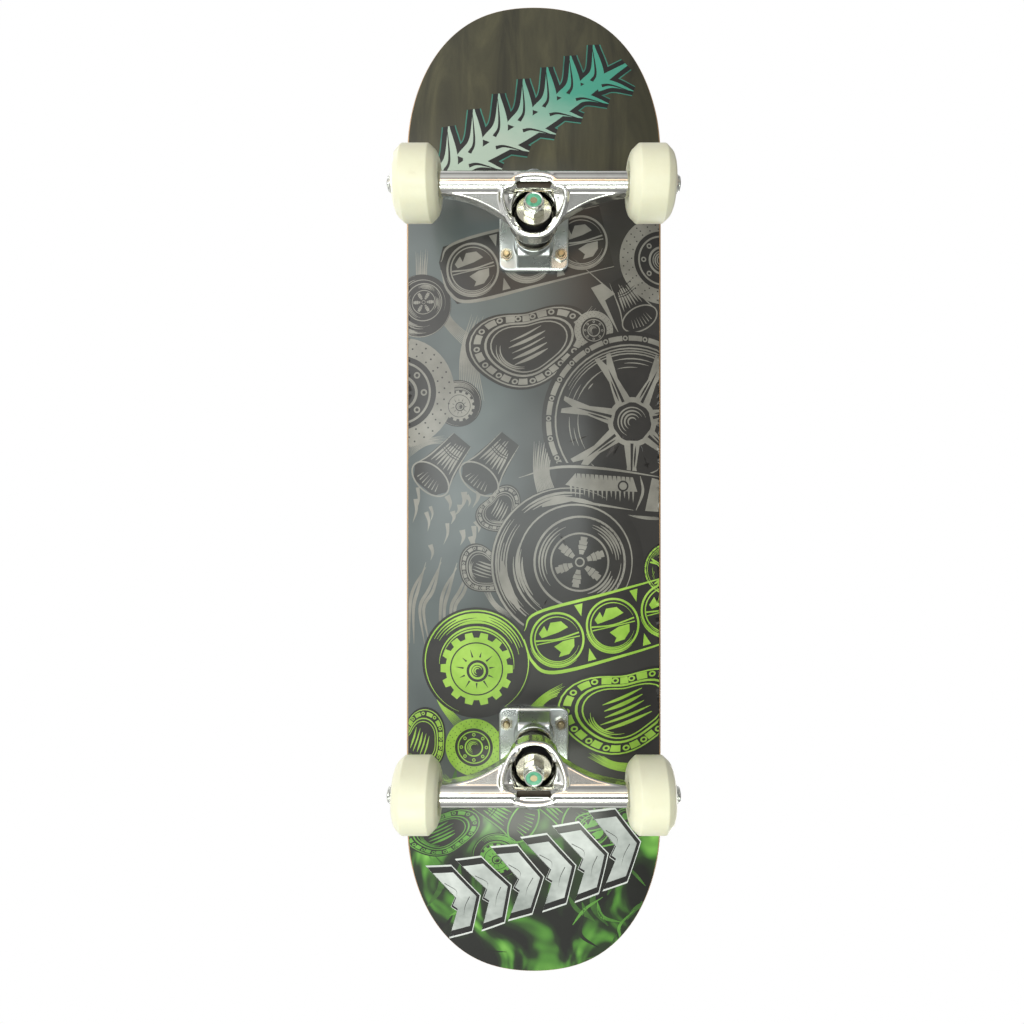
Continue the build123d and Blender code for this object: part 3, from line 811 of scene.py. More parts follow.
def draw_outlet(pen):
    """The pipe that leaves the shell: a broad tube with a seam, shaded across."""
    pen.fill([(-0.1, -0.24), (-0.1, 0.26), (1.15, 0.2), (1.15, -0.26)], **GROUND)
    pen.stroke([(-0.5, 0.06), (-0.1, 0.2), (0.4, 0.22), (1.1, 0.17)], 0.03)
    pen.stroke([(-0.05, -0.13), (0.3, -0.16), (0.75, -0.2)], 0.025)
    pen.fill([(0.0, 0.02), (0.1, 0.15), (0.72, 0.15), (0.78, 0.0), (0.3, -0.02)])
    for step in range(15):
        u = 0.06 + step * 0.048
        pen.stroke([(u, 0.02), (u + 0.01, -0.08 - 0.02 * (step % 3))], 0.026, "tail")
        pen.stroke([(u, 0.17), (u + 0.008, 0.1)], 0.016, "tail", **LINE)
    pen.arc((0.62, 0.05), 0.05, 0.018, **LINE)
    pen.stroke([(0.8, 0.17), (0.84, 0.0), (0.78, -0.2)], 0.03)
    pen.fill([(0.88, -0.2), (0.93, 0.16), (1.15, 0.12), (1.15, -0.2)])


GLINTS = (
    ((-0.55, 0.18), (-0.62, 0.36), (-0.36, 0.6), (-0.3, 0.36), (-0.1, 0.66), (0.3, 0.62), (0.5, 0.34),
     (0.1, 0.24)),
    ((-0.18, -0.24), (0.02, -0.5), (-0.1, -0.66), (0.3, -0.64), (0.56, -0.4), (0.62, -0.12), (0.2, -0.12)),
)


def draw_ring_row(pen, count):
    """A long casting with a row of round bores, each with a bar across it."""
    end = 2.15 * (count - 1)
    pen.fill([(-1.2, -0.5), (-0.9, -1.15), (end + 1, -1.25), (end + 1, 1.25), (-0.9, 1.15), (-1.2, 0.6)],
             **GROUND)
    pen.stroke([(end + 1, 1.2), (end / 2, 1.2), (-0.5, 1.14), (-1.12, 0.6)], 0.11)
    pen.stroke([(end + 1, -1.2), (end / 2, -1.22), (-0.4, -1.18), (-1.1, -0.6), (-1.2, 0.3)], 0.13)
    for number in range(count):
        centre = Vector((2.15 * number, 0))
        pen.arc(centre, 0.98, 0.08)
        pen.arc(centre, 0.84, 0.05, 10, 330)
        pen.hatch(centre, (0.9, 1.05), 0.05, 190, 300, number)
        for glint in GLINTS:
            pen.fill([centre + Vector(p) for p in glint])
        pen.stroke([centre + Vector((-0.8, 0.12)), centre, centre + Vector((0.85, 0.06))], 0.06, "even")
        pen.stroke([centre + Vector((-0.8, -0.02)), centre + Vector((0.85, -0.08))], 0.04, "even")
        if number:
            middle = centre - Vector((1.07, 0))
            for way in (-1, 1):
                pen.fill([middle + Vector((u, way * v)) for u, v in ((-0.16, 1.08), (0, 0.62), (0.16, 1.08))])


def kidney(radius, degrees):
    """A point on a bean-shaped outline."""
    bulge = 1 + 0.16 * math.cos(math.radians(2 * degrees)) + 0.1 * math.cos(math.radians(3 * degrees - 60))
    return Vector(polar(radius * bulge, degrees))


def draw_cover(pen, seed):
    """A bolted cover: a studded flange round a pressed panel with bright streaks."""
    chance = random.Random(seed)
    pen.fill([kidney(1.14, degrees) for degrees in around(60)], **GROUND)
    for radius, width in ((1.06, 0.035), (0.78, 0.05), (0.68, 0.03)):
        path = [kidney(radius, degrees) for degrees in range(0, 361, 8)]
        pen.ribbon(path, [width / 2] * len(path))
    for degrees in around(15):
        segment = [kidney(0.93, degrees + share) for share in range(5, 20, 3)]
        pen.ribbon(segment, [0.075] * len(segment))
        pen.arc(kidney(0.94, degrees), 0.05, 0.035)
    for number in range(5):
        v = 0.3 - 0.15 * number
        reach = chance.uniform(0.35, 0.5)
        pen.stroke([(-reach, v - 0.08), (0, v), (reach, v + 0.12)], 0.07 * chance.uniform(0.6, 1.4))
    pen.hatch((-0.1, 0), (0.58, 0.54, 0.5), 0.03, 170, 260, seed + 1)


def draw_flare(pen, seed):
    """A flared pipe: its mouth, the cone behind it and bands of shading."""
    chance = random.Random(seed)
    pen.fill([(-0.95, 0), (-0.5, 2.3), (0.5, 2.3), (0.95, 0), (0.6, -0.5), (-0.6, -0.5)], **GROUND)
    mouth = [Vector((polar(1.0, degrees)[0], polar(0.6, degrees)[1])) for degrees in range(0, 361, 10)]
    pen.ribbon(mouth, [0.035] * len(mouth))
    pen.stroke([(-1, 0.05), (-0.7, 0.9), (-0.5, 2.3)], 0.07)
    pen.stroke([(1, 0.05), (0.7, 0.9), (0.5, 2.3)], 0.07)
    for step in range(7):
        u = -0.6 + 0.2 * step
        foot, top = (u * 0.9, 0.7 + 0.1 * (step % 2)), (u * 0.55, chance.uniform(1.7, 2.2))
        pen.stroke([foot, (u * 0.7, 1.3), top], 0.1)
        pen.stroke([(u * 0.9, -0.42 + abs(u) * 0.2), (u * 0.72, chance.uniform(0.0, 0.2))], 0.05, "tail")
    for band in (1.5, 1.62, 1.95):
        pen.stroke([(-0.62, band), (0, band - 0.12), (0.62, band)], 0.05, **LINE)


def draw_plate_disc(pen):
    """A drilled disc with a hub."""
    pen.disc((0, 0), 1.0)
    pen.arc((0, 0), 0.64, 0.05, **LINE)
    pen.disc((0, 0), 0.62, **LINE)
    for radius, count in ((0.72, 22), (0.82, 26), (0.92, 30)):
        for degrees in around(count, radius * 90):
            pen.arc(polar(radius, degrees), 0.008, 0.016, **LINE)
    pen.arc((0, 0), 0.55, 0.04, **TOP)
    for degrees in around(8):
        pen.arc(polar(0.44, degrees), 0.045, 0.03, **TOP)
    pen.arc((0, 0), 0.3, 0.05, **TOP)
    pen.hatch((0, 0), (0.22, 0.17, 0.12), 0.03, 40, 250, 2, **TOP)


def draw_cog_dome(pen):
    """A domed cog: bright face, shaded crown, blunt teeth and an off-centre hub."""
    pen.disc((0, 0), 1.06, **GROUND)
    pen.arc((0, 0), 1.0, 0.03, -60, 250)
    pen.hatch((0, 0), (0.93, 0.88, 0.83, 0.78), 0.036, 20, 150, 11)
    pen.hatch((0, 0), (0.9, 0.84, 0.78), 0.05, 75, 112, 12)
    pen.hatch((0, -0.04), (0.72, 0.67), 0.035, 0, 175, 13)
    face, hub = Vector((0, -0.12)), (0.02, -0.16)
    pen.disc(face, 0.6)
    for degrees in around(14):
        tooth = ((0.56, -9), (0.7, -6), (0.7, 6), (0.56, 9))
        pen.fill([face + Vector(polar(radius, degrees + turn)) for radius, turn in tooth])
    pen.arc(face, 0.5, 0.025, **LINE)
    pen.disc(hub, 0.21, **LINE)
    pen.arc(hub, 0.14, 0.04, **TOP)
    pen.hatch(hub, (0.09, 0.05), 0.03, 30, 260, 14, **TOP)
    for number, degrees in enumerate(around(11, 9)):
        radii = (0.25, 0.36 + 0.05 * (number % 2))
        ray = [Vector((0, -0.14)) + Vector(polar(radius, degrees)) for radius in radii]
        pen.stroke(ray, 0.035, "tail", **LINE)


def draw_hoses(pen):
    """Loose hoses as pairs of lines, under a shower of broken streaks."""
    chance = random.Random(17)
    for number in range(4):
        u = -0.62 + 0.36 * number
        bend = 0.12 * (number % 2)
        for gap in (-0.05, 0.06):
            foot, knee = (u + gap, -1.7), (u + gap * 0.8 - bend, -0.9)
            pen.stroke([foot, knee, (u + 0.1 + gap, -0.45), (u + 0.34, 0.1 + gap + bend)], 0.08)
    for number in range(16):
        start = Vector((chance.uniform(-0.6, 0.95), chance.uniform(0.55, 1.95)))
        fall = Vector((chance.uniform(-0.14, 0.06), -chance.uniform(0.25, 0.55)))
        middle = start + fall * 0.5 + Vector((0.05, 0))
        pen.stroke([start, middle, start + fall], chance.uniform(0.08, 0.15), "tail")


def draw_ribs(pen, count=12):
    """A bundle of long curved ribs."""
    for number in range(count):
        bend = 0.05 * number
        pen.stroke([(bend, -1), (bend * 0.7 - 0.12, 0), (bend * 0.9, 0.9 - 0.06 * (number % 3))], 0.035)


def draw_spark(pen):
    pen.fill([(-0.42, 0.9), (0.1, 0.2), (-0.14, 0.16), (0.26, -0.95), (0.1, -0.16), (0.34, -0.06)])


def draw_nose_wing():
    """A rising wing of claws along a swoosh, each with a dark and a teal edge, from pale mint to teal."""
    along = Vector((165, 112)).normalized()
    across = Vector((-along.y, along.x))
    start = Vector((-84, 240))
    swoosh = [start - across * 9, start + along * 95 - across * 13, start + along * 188 - across * 5]
    strokes = [(swoosh, 15.0, "both")]
    for number in range(7):
        foot = start + along * (12 + 23 * number) - across * 8
        reach = 42 - abs(number - 3) * 1.5
        lean = (across * 0.7 + along * 0.7) * reach
        strokes.append(([foot, foot + lean * 0.5 - across * 4, foot + lean + across * 6], 19.0, "tail"))
    for number in range(6):
        foot = start + along * (30 + 25 * number) - across * 10
        lean = (along * 0.9 - across * 0.6) * 25
        strokes.append(([foot, foot + lean * 0.5 + across * 2, foot + lean - across * 4], 12.0, "tail"))
    for ink_name, layer, grow in (("teal", 1, 5.0), ("black", 2, 4.0), ("mint", 3, 0.0)):
        for points, width, taper in strokes:
            Pen(ink_name, layer, (0, 0)).stroke(points, width, taper, grow)
    for points, _, _ in strokes[1:]:
        edge = [p - along * 1.5 for p in points]
        Pen("black", 4, (0, 0)).stroke([edge[0] * 0.6 + edge[1] * 0.4, edge[1], edge[2]], 3.0, "tail")


def draw_tail_plates():
    """A tilted run of cracked silver chevrons with black and pale edges."""
    shape = [(-17, -29), (0, -27), (14, 1), (2, 28), (-15, 30), (-3, 3), (-8, -4), (-5, -8)]
    for number in range(6):
        place = (-58 + 25 * number, -326 + 9.5 * number)
        turn = 15 + 3 * math.sin(2.2 * number)
        for ink_name, layer, size in (("white", 6, 1.22), ("black", 7, 1.16), ("silver", 8, 0.96)):
            Pen(ink_name, layer, place, size, turn).fill(shape)
        crack = Pen("black", 9, place, 1.0, turn)
        crack.stroke([(-8, 18), (-1, 10), (-2, 4)], 0.6, "tail")
        crack.stroke([(8, 2), (2, -6), (-2, -15)], 0.6, "tail")


def draw_leaves():
    """Soft green blades at the tail, with dark veins between them."""
    chance = random.Random(8)
    for number in range(46):
        base = Vector((chance.uniform(-92, 92), chance.uniform(-396, -232)))
        bend = Vector(polar(chance.uniform(22, 46), chance.uniform(35, 145)))
        side = Vector((bend.y, -bend.x)) * chance.uniform(-0.3, 0.3)
        pen = Pen(chance.choice(["leaf", "moss", "moss", "shade"]), 1, (0, 0))
        pen.stroke([base, base + bend * 0.5 + side, base + bend], chance.uniform(1.5, 5.0))


def draw_everything():
    """Lays out the whole print. Each shape takes the next depth within its layer, so their order counts."""
    grey, lime, leaf = "grey", "lime", "leaf"
    draw_ring_row(Pen(grey, 3, (-47, 169), 20, 14), 3)
    draw_plate_disc(Pen(grey, 3, (-104, 75), 43))
    draw_cover(Pen(grey, 3, (-4, 110), 37, 14, 0.82), 31)
    draw_spark(Pen(grey, 3, (50, 150), 36, 12))
    draw_ribs(Pen(grey, 1, (-52, 104), 34, -8))
    draw_plate_disc(Pen(grey, 3, (100, 178), 34))
    draw_spoked_ring(Pen(grey, 5, (76, 52), 66))
    draw_flare(Pen(grey, 3, (-80, 8), 17, -40), 41)
    draw_flare(Pen(grey, 3, (-42, 8), 17, -38), 42)
    draw_ribs(Pen(grey, 1, (4, 10), 30, 8))
    draw_hoses(Pen(grey, 1, (-74, -62), 34))
    draw_cover(Pen(grey, 3, (-38, -62), 17, -30), 34)
    draw_ribs(Pen(grey, 1, (-84, 36), 18, -70), 8)
    draw_ribs(Pen(grey, 1, (-24, -34), 30, -14), 7)
    draw_ribs(Pen(grey, 1, (-66, 128), 26, 36), 9)
    draw_ribs(Pen(grey, 1, (-86, 158), 30, 12), 8)
    draw_ribs(Pen(grey, 1, (34, 122), 24, -30), 9)
    draw_ribs(Pen(grey, 1, (30, 74), 26, -52), 8)
    draw_flare(Pen(grey, 3, (82, 132), 15, 30), 43)
    draw_spark(Pen(grey, 3, (84, 106), 16, -20))
    draw_ribs(Pen(grey, 1, (84, -20), 22, 80), 10)
    draw_ribs(Pen(grey, 1, (-30, -88), 16, 40), 7)
    draw_shell(Pen(grey, 3, (-88, 142), 24, 40))
    draw_cog_dome(Pen(grey, 3, (-58, 66), 17, 20))
    draw_cover(Pen(grey, 3, (-26, -16), 15, 50), 33)
    draw_plate_disc(Pen(grey, 3, (46, 122), 15))
    draw_cover(Pen(lime, 10, (-16, -196), 15, 20), 62)
    draw_outlet(Pen(grey, 7, (24, 2), 72, -4))
    draw_shell(Pen(grey, 7, (26, -57), 58))
    draw_ring_row(Pen(lime, 10, (18, -115), 20.5, 14), 3)
    draw_cog_dome(Pen(lime, 10, (-44, -133), 40))
    draw_cover(Pen(lime, 10, (70, -170), 42, 10, 0.78), 51)
    draw_ribs(Pen(lime, 8, (8, -160), 20, -52), 9)
    draw_plate_disc(Pen(lime, 10, (-46, -198), 22))
    draw_cover(Pen(lime, 10, (-88, -196), 20, 60), 61)
    draw_spoked_ring(Pen(lime, 10, (106, -62), 20), 5)
    draw_ribs(Pen(lime, 8, (-70, -166), 20, 30), 8)
    draw_ribs(Pen(lime, 8, (60, -212), 22, 70), 8)
    draw_ribs(Pen(lime, 1, (-56, -240), 26, 64), 12)
    draw_ribs(Pen(lime, 1, (66, -240), 24, -60), 12)
    draw_cover(Pen(leaf, 3, (-72, -266), 25, 20, 0.7), 72)
    draw_ring_row(Pen(leaf, 3, (46, -262), 12, 10), 4)
    draw_cog_dome(Pen(leaf, 3, (-28, -284), 19, -20))
    draw_flare(Pen(leaf, 3, (-8, -256), 17, 62), 71)
    draw_flare(Pen(leaf, 3, (34, -252), 17, 58), 72)
    draw_leaves()
    draw_nose_wing()
    draw_tail_plates()


def outline_table(steps=80):
    """Places along the board's end, and half the print's width at each."""
    curve = [end_curve(step / steps, HALF_WIDTH - ART_EDGE) for step in range(steps + 1)]
    return [y for _, y in curve], [x for x, _ in curve]


def split_long_faces(mesh):
    """Splits faces into triangles whose edges are at most ART_MAX_SPAN long, as far as six rounds reach."""
    for _ in range(6):
        bmesh.ops.triangulate(mesh, faces=mesh.faces[:])
        long_edges = [edge for edge in mesh.edges if edge.calc_length() > ART_MAX_SPAN]
        if not long_edges:
            break
        bmesh.ops.subdivide_edges(mesh, edges=long_edges, cuts=1)
    bmesh.ops.triangulate(mesh, faces=mesh.faces[:])


def build_print_art():
    """Lays each sheet of drawn shapes on the film, as far as the print reaches."""
    draw_everything()
    stations, half_widths = outline_table()
    for (ink_name, layer), (points, faces) in sorted(SHEETS.items()):
        mesh = bmesh.new()
        corners = [mesh.verts.new(point) for point in points]
        for face in faces:
            if len(set(face)) > 2:
                mesh.faces.new([corners[index] for index in face])
        split_long_faces(mesh)
        for vertex in mesh.verts:
            u, v, depth = vertex.co
            y = max(-ART_END, min(ART_END, v))
            edge = float(np.interp(abs(y), stations, half_widths))
            x = -max(-edge, min(edge, u))
            z = deck_height(x, y, -PRINT_THICKNESS) - layer * ART_LAYER - depth
            vertex.co = Vector((x, y, z)) * MM
        bmesh.ops.dissolve_degenerate(mesh, edges=mesh.edges[:], dist=0.02 * MM)
        for face in mesh.faces:
            face.normal_update()
            if face.normal.z > 0:
                face.normal_flip()
        data = bpy.data.meshes.new(f"art_{ink_name}_{layer}")
        mesh.to_mesh(data)
        mesh.free()
        data.materials.append(INKS[ink_name])
        data.shade_smooth()
        place_object(data.name, data, "board")


# ---------------------------------------------------------------- trucks
AXLE_RADIUS = 4.0
HEAD_TOP = WOOD_UNDERSIDE + DECK_THICKNESS + GRIP_THICKNESS
CASTING_VOXEL = 0.6
# The hanger's bowl, round the kingpin: the radius of its well and of its ledge, how much wider the ledge is
# at the wings, the ledge's middle station on the kingpin's line, and how far it climbs either way.
WELL_RADIUS = 15.4
LEDGE_RADIUS = 17.4
LEDGE_WING = 5.8
LEDGE_STATION = 51.5
LEDGE_CLIMB = 8.0
# Where the wings' middles are, and how far each reaches either way, in degrees round from the axle's side.
WING_TURN = 70.0
WING_SPREAD = 60.0
# The bowl's rim, and one side of its line from the ring to the axle: (across, out from the bolts, down).
RIM_RADIUS = 1.9
RIM_START, RIM_END = (0.0, 1.6, 47.0), (0.0, 39.8, 60.3)
RIM_SIDE = [
    (9.5, 3.4, 47.3), (16.0, 9.5, 49.4), (20.5, 18.0, 53.0), (22.3, 26.5, 56.8), (18.8, 34.5, 59.3),
    (10.0, 38.8, 60.2),
]
# The metal over the axle, and the window in it.
SHEATH_RADIUS = 6.4
SHEATH_HALF_LENGTH = 16.0
SHEATH_OUTWARD = 1.0
SHEATH_DROP = 0.6
WINDOW_OUTWARD = 33.0
WINDOW_HALF_LENGTH = 12.0
WINDOW_ROUNDING = 2.0
WINDOW_FOOT = 70.0
# A nut: its width across flats, its radii, and where its parts start and end on its line.
KINGPIN_NUT = {"flats": 14.3, "start": 49.4, "hex_end": 56.4, "collar": 6.3, "end": 60.6, "bore": 5.45}
AXLE_NUT = {"flats": 12.7, "start": 96.0, "hex_end": 100.2, "collar": 5.6, "end": 101.8, "bore": 4.05}
MOUNTING_NUT = {"flats": 8.7, "start": 5.5, "hex_end": 8.6, "collar": 3.4, "end": 9.7, "bore": 2.45}
# Profiles of (station, radius) on the kingpin's line.
NUT_INSERT = [(57.6, 4.8), (57.6, 5.42), (60.2, 5.42), (60.5, 5.0), (60.25, 2.9), (60.03, 2.5), (60.03, 4.8)]
BOTTOM_BUSHING = [
    (21.0, 4.9), (21.0, 12.3), (24, 12.6), (27, 12.9), (30, 12.6), (33.0, 12.3), (33.0, 7.7), (35.4, 7.6),
    (35.4, 4.9),
]
TOP_BUSHING = [
    (36.6, 4.9), (36.6, 7.6), (39.0, 7.7), (39.0, 13.3), (41, 13.0), (44.5, 11.6), (47.8, 10.5), (47.8, 4.9),
]
FIXED_LOOKS = {
    "pivot_cup": "black_plastic", "kingpin": "brass_zinc", "top_washer": "washer_steel",
    "bottom_washer": "washer_steel", "axle": "bolt_steel", "speed_rings": "zinc_steel",
    "bearing_inner_rings": "bearing_steel",
}
WHEEL_LOOKS = {
    "bearing_outer_rings": "bearing_steel", "bearing_shields": "black_shield", "ball_cages": "bearing_steel",
}


def paint_cad(node, look):
    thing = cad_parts[node]
    thing.data.materials.clear()
    thing.data.materials.append(LOOKS[look])


def bowl_floor():
    """The ledge round the kingpin's well: it climbs from the ring to the axle and dips towards the well."""
    sections = []
    for turn in angles(72):
        from_wing = math.degrees(abs(math.remainder(turn, 2 * math.pi))) - WING_TURN
        wing = max(0.0, math.cos(math.pi / 2 * from_wing / WING_SPREAD)) ** 2
        wide = LEDGE_RADIUS + LEDGE_WING * wing
        middle = (WELL_RADIUS + wide) / 2
        level = LEDGE_STATION + LEDGE_CLIMB * math.cos(turn)
        section = [
            (WELL_RADIUS, level - 4), (WELL_RADIUS, level), (middle, level + 1.0), (wide, level + 3.4),
            (wide, level - 1),
        ]
        sections.append([(r * math.sin(turn), -r * math.cos(turn), station) for r, station in section])
    return moved(skin(sections, closed=True), kingpin_matrix(1))


def axle_sheath():
    """The wall of metal over the axle, where it passes the kingpin."""
    y, z = INNER_BOLT_Y + AXLE_OUTWARD + SHEATH_OUTWARD, DECK_UNDERSIDE - AXLE_DROP - SHEATH_DROP
    across = Matrix.Translation((0, y, z)) @ Matrix.Rotation(math.radians(90), 4, "Y")
    return moved(cylinder(-SHEATH_HALF_LENGTH, SHEATH_HALF_LENGTH, SHEATH_RADIUS, 64), across)


def bowl_rim():
    """The rounded lip round the bowl: from the ring up along the wings and over the axle tube."""
    knots = [RIM_START, *RIM_SIDE, RIM_END, *[(-x, y, down) for x, y, down in reversed(RIM_SIDE)]]
    knots = [Vector((x, INNER_BOLT_Y + y, DECK_UNDERSIDE - down)) for x, y, down in knots]
    path = []
    for index in range(len(knots)):
        near = [knots[(index + offset) % len(knots)] for offset in (-1, 0, 1, 2)]
        path += [spline_point(*near, step / 8) for step in range(8)]
    rings = []
    for index, here in enumerate(path):
        ahead = (path[(index + 1) % len(path)] - path[index - 1]).normalized()
        out = ahead.cross(Vector((0, 0, 1))).normalized()
        up = out.cross(ahead)
        rings.append([here + (out * math.cos(a) + up * math.sin(a)) * RIM_RADIUS for a in angles(16)])
    return skin(rings, closed=True)


def window():
    """The window that shows the axle: a slot with round ends, from clear of the hanger up to the axle."""
    outline = []
    for side in (1, -1):
        for step in range(9):
            along, across = polar(WINDOW_ROUNDING, -90 + 22.5 * step)
            x = side * (WINDOW_HALF_LENGTH - WINDOW_ROUNDING + along)
            outline.append((x, INNER_BOLT_Y + WINDOW_OUTWARD + side * across))
    drops = (WINDOW_FOOT, AXLE_DROP + AXLE_RADIUS)
    return capped([[(x, y, DECK_UNDERSIDE - drop) for x, y in outline] for drop in drops])


def build_casting(node, look, steers, smoothing, extras=(), hole=None):
    """Casts a truck part: the CAD solid, softened. The rear one is the front one turned round."""
    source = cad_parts[f"front_{node}"]
    work = bmesh.new()
    work.from_mesh(source.data)
    work.transform(source.matrix_world)
    for shape in extras:
        work.from_mesh(shape_mesh("extra", shape))
    mould = place_object("mould", bpy.data.meshes.new("mould"))
    work.to_mesh(mould.data)
    work.free()
    mould.data.materials.append(LOOKS[look])
    remesh = mould.modifiers.new("remesh", "REMESH")
    remesh.mode = "VOXEL"
    remesh.voxel_size = CASTING_VOXEL * MM
    remesh.use_smooth_shade = True
    soften = mould.modifiers.new("soften", "SMOOTH")
    soften.factor = 0.5
    soften.iterations = smoothing
    if hole:
        # The window's walls take a dark brown instead of aluminium: painted shade inside the cut
        cut_away(mould, hole, LOOKS["cavity_shade"])
    apply_modifiers(mould)
    for truck, end in TRUCKS.items():
        mesh = mould.data.copy()
        mesh.transform(half_turn(end))
        mesh.shade_smooth()
        mesh.set_sharp_from_angle(angle=math.radians(60))
        casting = place_object(f"{truck}_{node}_cast", mesh, f"{truck}_hanger_body" if steers else "board")
        stand_for(f"{truck}_{node}")
    bpy.data.objects.remove(mould)


def build_bushing(truck, node, profile):
    """A rubber bushing, turned about the kingpin's line."""
    line = kingpin_matrix(TRUCKS[truck])
    shape = moved(turned(rounded(profile, 0.8), 96), line)
    bushing = make_object(f"{truck}_{node}_rubber", shape, LOOKS["black_urethane"], smooth_angle=60.0)
    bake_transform(bushing)
    stand_for(f"{truck}_{node}")


def bolt_head(radius=4.8, depth=2.6, arm=2.7, half_width=0.55, sunk=1.5, steps=48):
    """A countersunk head from its flat top down, with a cross recess."""
    rim, foot = circle(radius, 0, steps), circle(radius / 2, -depth, steps)
    cross = []
    for turn in range(4):
        cos, sin = math.cos(math.pi / 2 * turn), math.sin(math.pi / 2 * turn)
        for x, y in ((arm, -half_width), (arm, half_width), (half_width, half_width)):
            cross.append((x * cos - y * sin, x * sin + y * cos, 0))
    floor = [(x * 0.7, y * 0.7, -sunk) for x, y, _ in cross]
    count = len(cross)

    def wall(upper, lower, size):
        return [(upper + i, upper + (i + 1) % size, lower + (i + 1) % size, lower + i) for i in range(size)]

    top = tessellate_polygon([[Vector(point) for point in outline] for outline in (rim, cross)])
    faces = [tuple(face) for face in top]
    faces += wall(steps, steps + count, count)
    faces.append(tuple(range(steps + count, steps + 2 * count)))
    faces += wall(0, steps + 2 * count, steps)
    return [*rim, *cross, *floor, *foot], faces


def hex_nut(flats, start, hex_end, collar, end, bore):
    """A hexagon nut along a line, its corners cut back at both ends, with a collar for its locking ring."""
    apothem = flats / 2
    corner = apothem / math.cos(math.pi / 6)
    sections = []
    for angle in angles(72):
        edge = apothem / math.cos(math.remainder(angle, math.pi / 3))
        chamfer = 0.3 + max(0.0, edge - apothem * 1.03) * 0.9
        blunt = min(edge, corner * 0.985)
        section = [
            (bore, start), (apothem * 0.97, start), (blunt, start + chamfer), (blunt, hex_end - chamfer),
            (min(blunt, apothem * 1.02), hex_end), (collar + 0.5, hex_end), (collar, hex_end + 0.5),
            (collar, end - 0.6), (collar - 0.5, end), (bore + 0.9, end), (bore, end - 0.5),
        ]
        sections.append([(r * math.cos(angle), r * math.sin(angle), station) for r, station in section])
    return skin(sections, closed=True)


def build_nuts():
    for truck, end in TRUCKS.items():
        kingpin = kingpin_matrix(end)
        axle_ends = [axle_matrix(end, 0, side) for side in SIDES.values()]
        bolts = [Matrix.Translation((x, y, DECK_UNDERSIDE)) @ DOWN for x, y in bolt_places(end)]
        for name, shape, places, look, slot, body in (
            ("kingpin_nut", hex_nut(**KINGPIN_NUT), [kingpin], "zinc_steel", "zinc_steel", "board"),
            ("nut_insert", turned(NUT_INSERT, 64), [kingpin], "teal_nylon", "teal_nylon", "board"),
            ("axle_nuts", hex_nut(**AXLE_NUT), axle_ends, "zinc_steel", "zinc_steel", f"{truck}_hanger_body"),
            ("mounting_nuts", hex_nut(**MOUNTING_NUT), bolts, "washer_steel", "zinc_steel", "board"),
        ):
            shapes = joined([moved(shape, place) for place in places])
            nut = make_object(f"{truck}_{name}_turned", shapes, LOOKS[look], body, 15.0)
            stand_for(f"{truck}_{name}")


def build_bolts():
    """Four countersunk bolts to a truck, threaded where they come out of their nuts."""
    for truck, end in TRUCKS.items():
        shapes = []
        for x, y in bolt_places(end):
            top = Matrix.Translation((x, y, HEAD_TOP))
            shapes.append(moved(bolt_head(), top))
            shapes.append(moved(cylinder(start=2.5, end=17, radius=2.35), top @ DOWN))
            shapes.append(moved(thread(radius=2.4, pitch=0.8, start=17, end=24.1, depth=0.34), top @ DOWN))
        bolts = make_object(f"{truck}_bolts", joined(shapes), LOOKS["brass_zinc"], "board")
        stand_for(f"{truck}_mounting_bolts")


def build_trucks():
    extras = (bowl_floor(), axle_sheath(), bowl_rim())
    build_casting("hanger", "polished_aluminium", True, 9, extras, window())
    build_casting("baseplate", "cast_aluminium", False, 4)
    for truck in TRUCKS:
        build_bushing(truck, "bottom_bushing", BOTTOM_BUSHING)
        build_bushing(truck, "top_bushing", TOP_BUSHING)
        for node, look in FIXED_LOOKS.items():
            paint_cad(f"{truck}_{node}", look)
    build_nuts()
    build_bolts()


# ---------------------------------------------------------------- wheels
# Half of the wheel's outline, from its bearing seat to its tread: (station, radius, rounding).
WHEEL_PROFILE = [
    (6.5, 8.4, 0.3), (6.5, 11.0, 0.1), (13.5, 11.0, 0.2), (13.5, 13.0, 0.6), (16.0, 14.4, 0.8),
    (16.0, 17.0, 2.0), (14.2, 21.8, 1.8), (9.2, 26.5, 0.8),
]


def build_wheels():
    mirrored = [(-station, *rest) for station, *rest in reversed(WHEEL_PROFILE)]
    wheel_shape = turned(rounded(WHEEL_PROFILE + mirrored, 1.0, 6), 144)
    for truck, end in TRUCKS.items():
        for side, outward in SIDES.items():
            name = f"{truck}_{side}"
            shape = moved(wheel_shape, axle_matrix(end, outward * WHEEL_CENTRE, outward))
            wheel = make_object(f"{name}_tyre", shape, LOOKS["cream_urethane"], f"{name}_wheel_body", 50.0)
            stand_for(f"{name}_wheel")
            for node, look in WHEEL_LOOKS.items():
                paint_cad(f"{name}_{node}", look)


# ---------------------------------------------------------------- stage
# The room that the board reflects: (height, grey) from straight below at 0 to straight above at 1, and how
# bright its far side and its window side are.
ROOM_BANDS = [
    (0.0, 0.16), (0.04, 0.35), (0.14, 0.9), (0.32, 0.55), (0.45, 0.3), (0.5, 0.32), (0.58, 0.85), (1.0, 1.05),
]
ROOM_SIDES = (0.42, 1.12)
FLOOR_HALF = 30.0


def build_camera():
    data = bpy.data.cameras.new("camera")
    data.lens = CAMERA_LENS
    data.sensor_width = 36.0
    data.shift_x, data.shift_y = CAMERA_SHIFT
    data.clip_start = 0.01
    camera = bpy.data.objects.new("camera", data)
    camera.location = (0, 0, (DECK_UNDERSIDE - CAMERA_DISTANCE) * MM)
    camera.rotation_euler = (0, math.pi, 0)
    bpy.context.scene.collection.objects.link(camera)
    bpy.context.scene.camera = camera


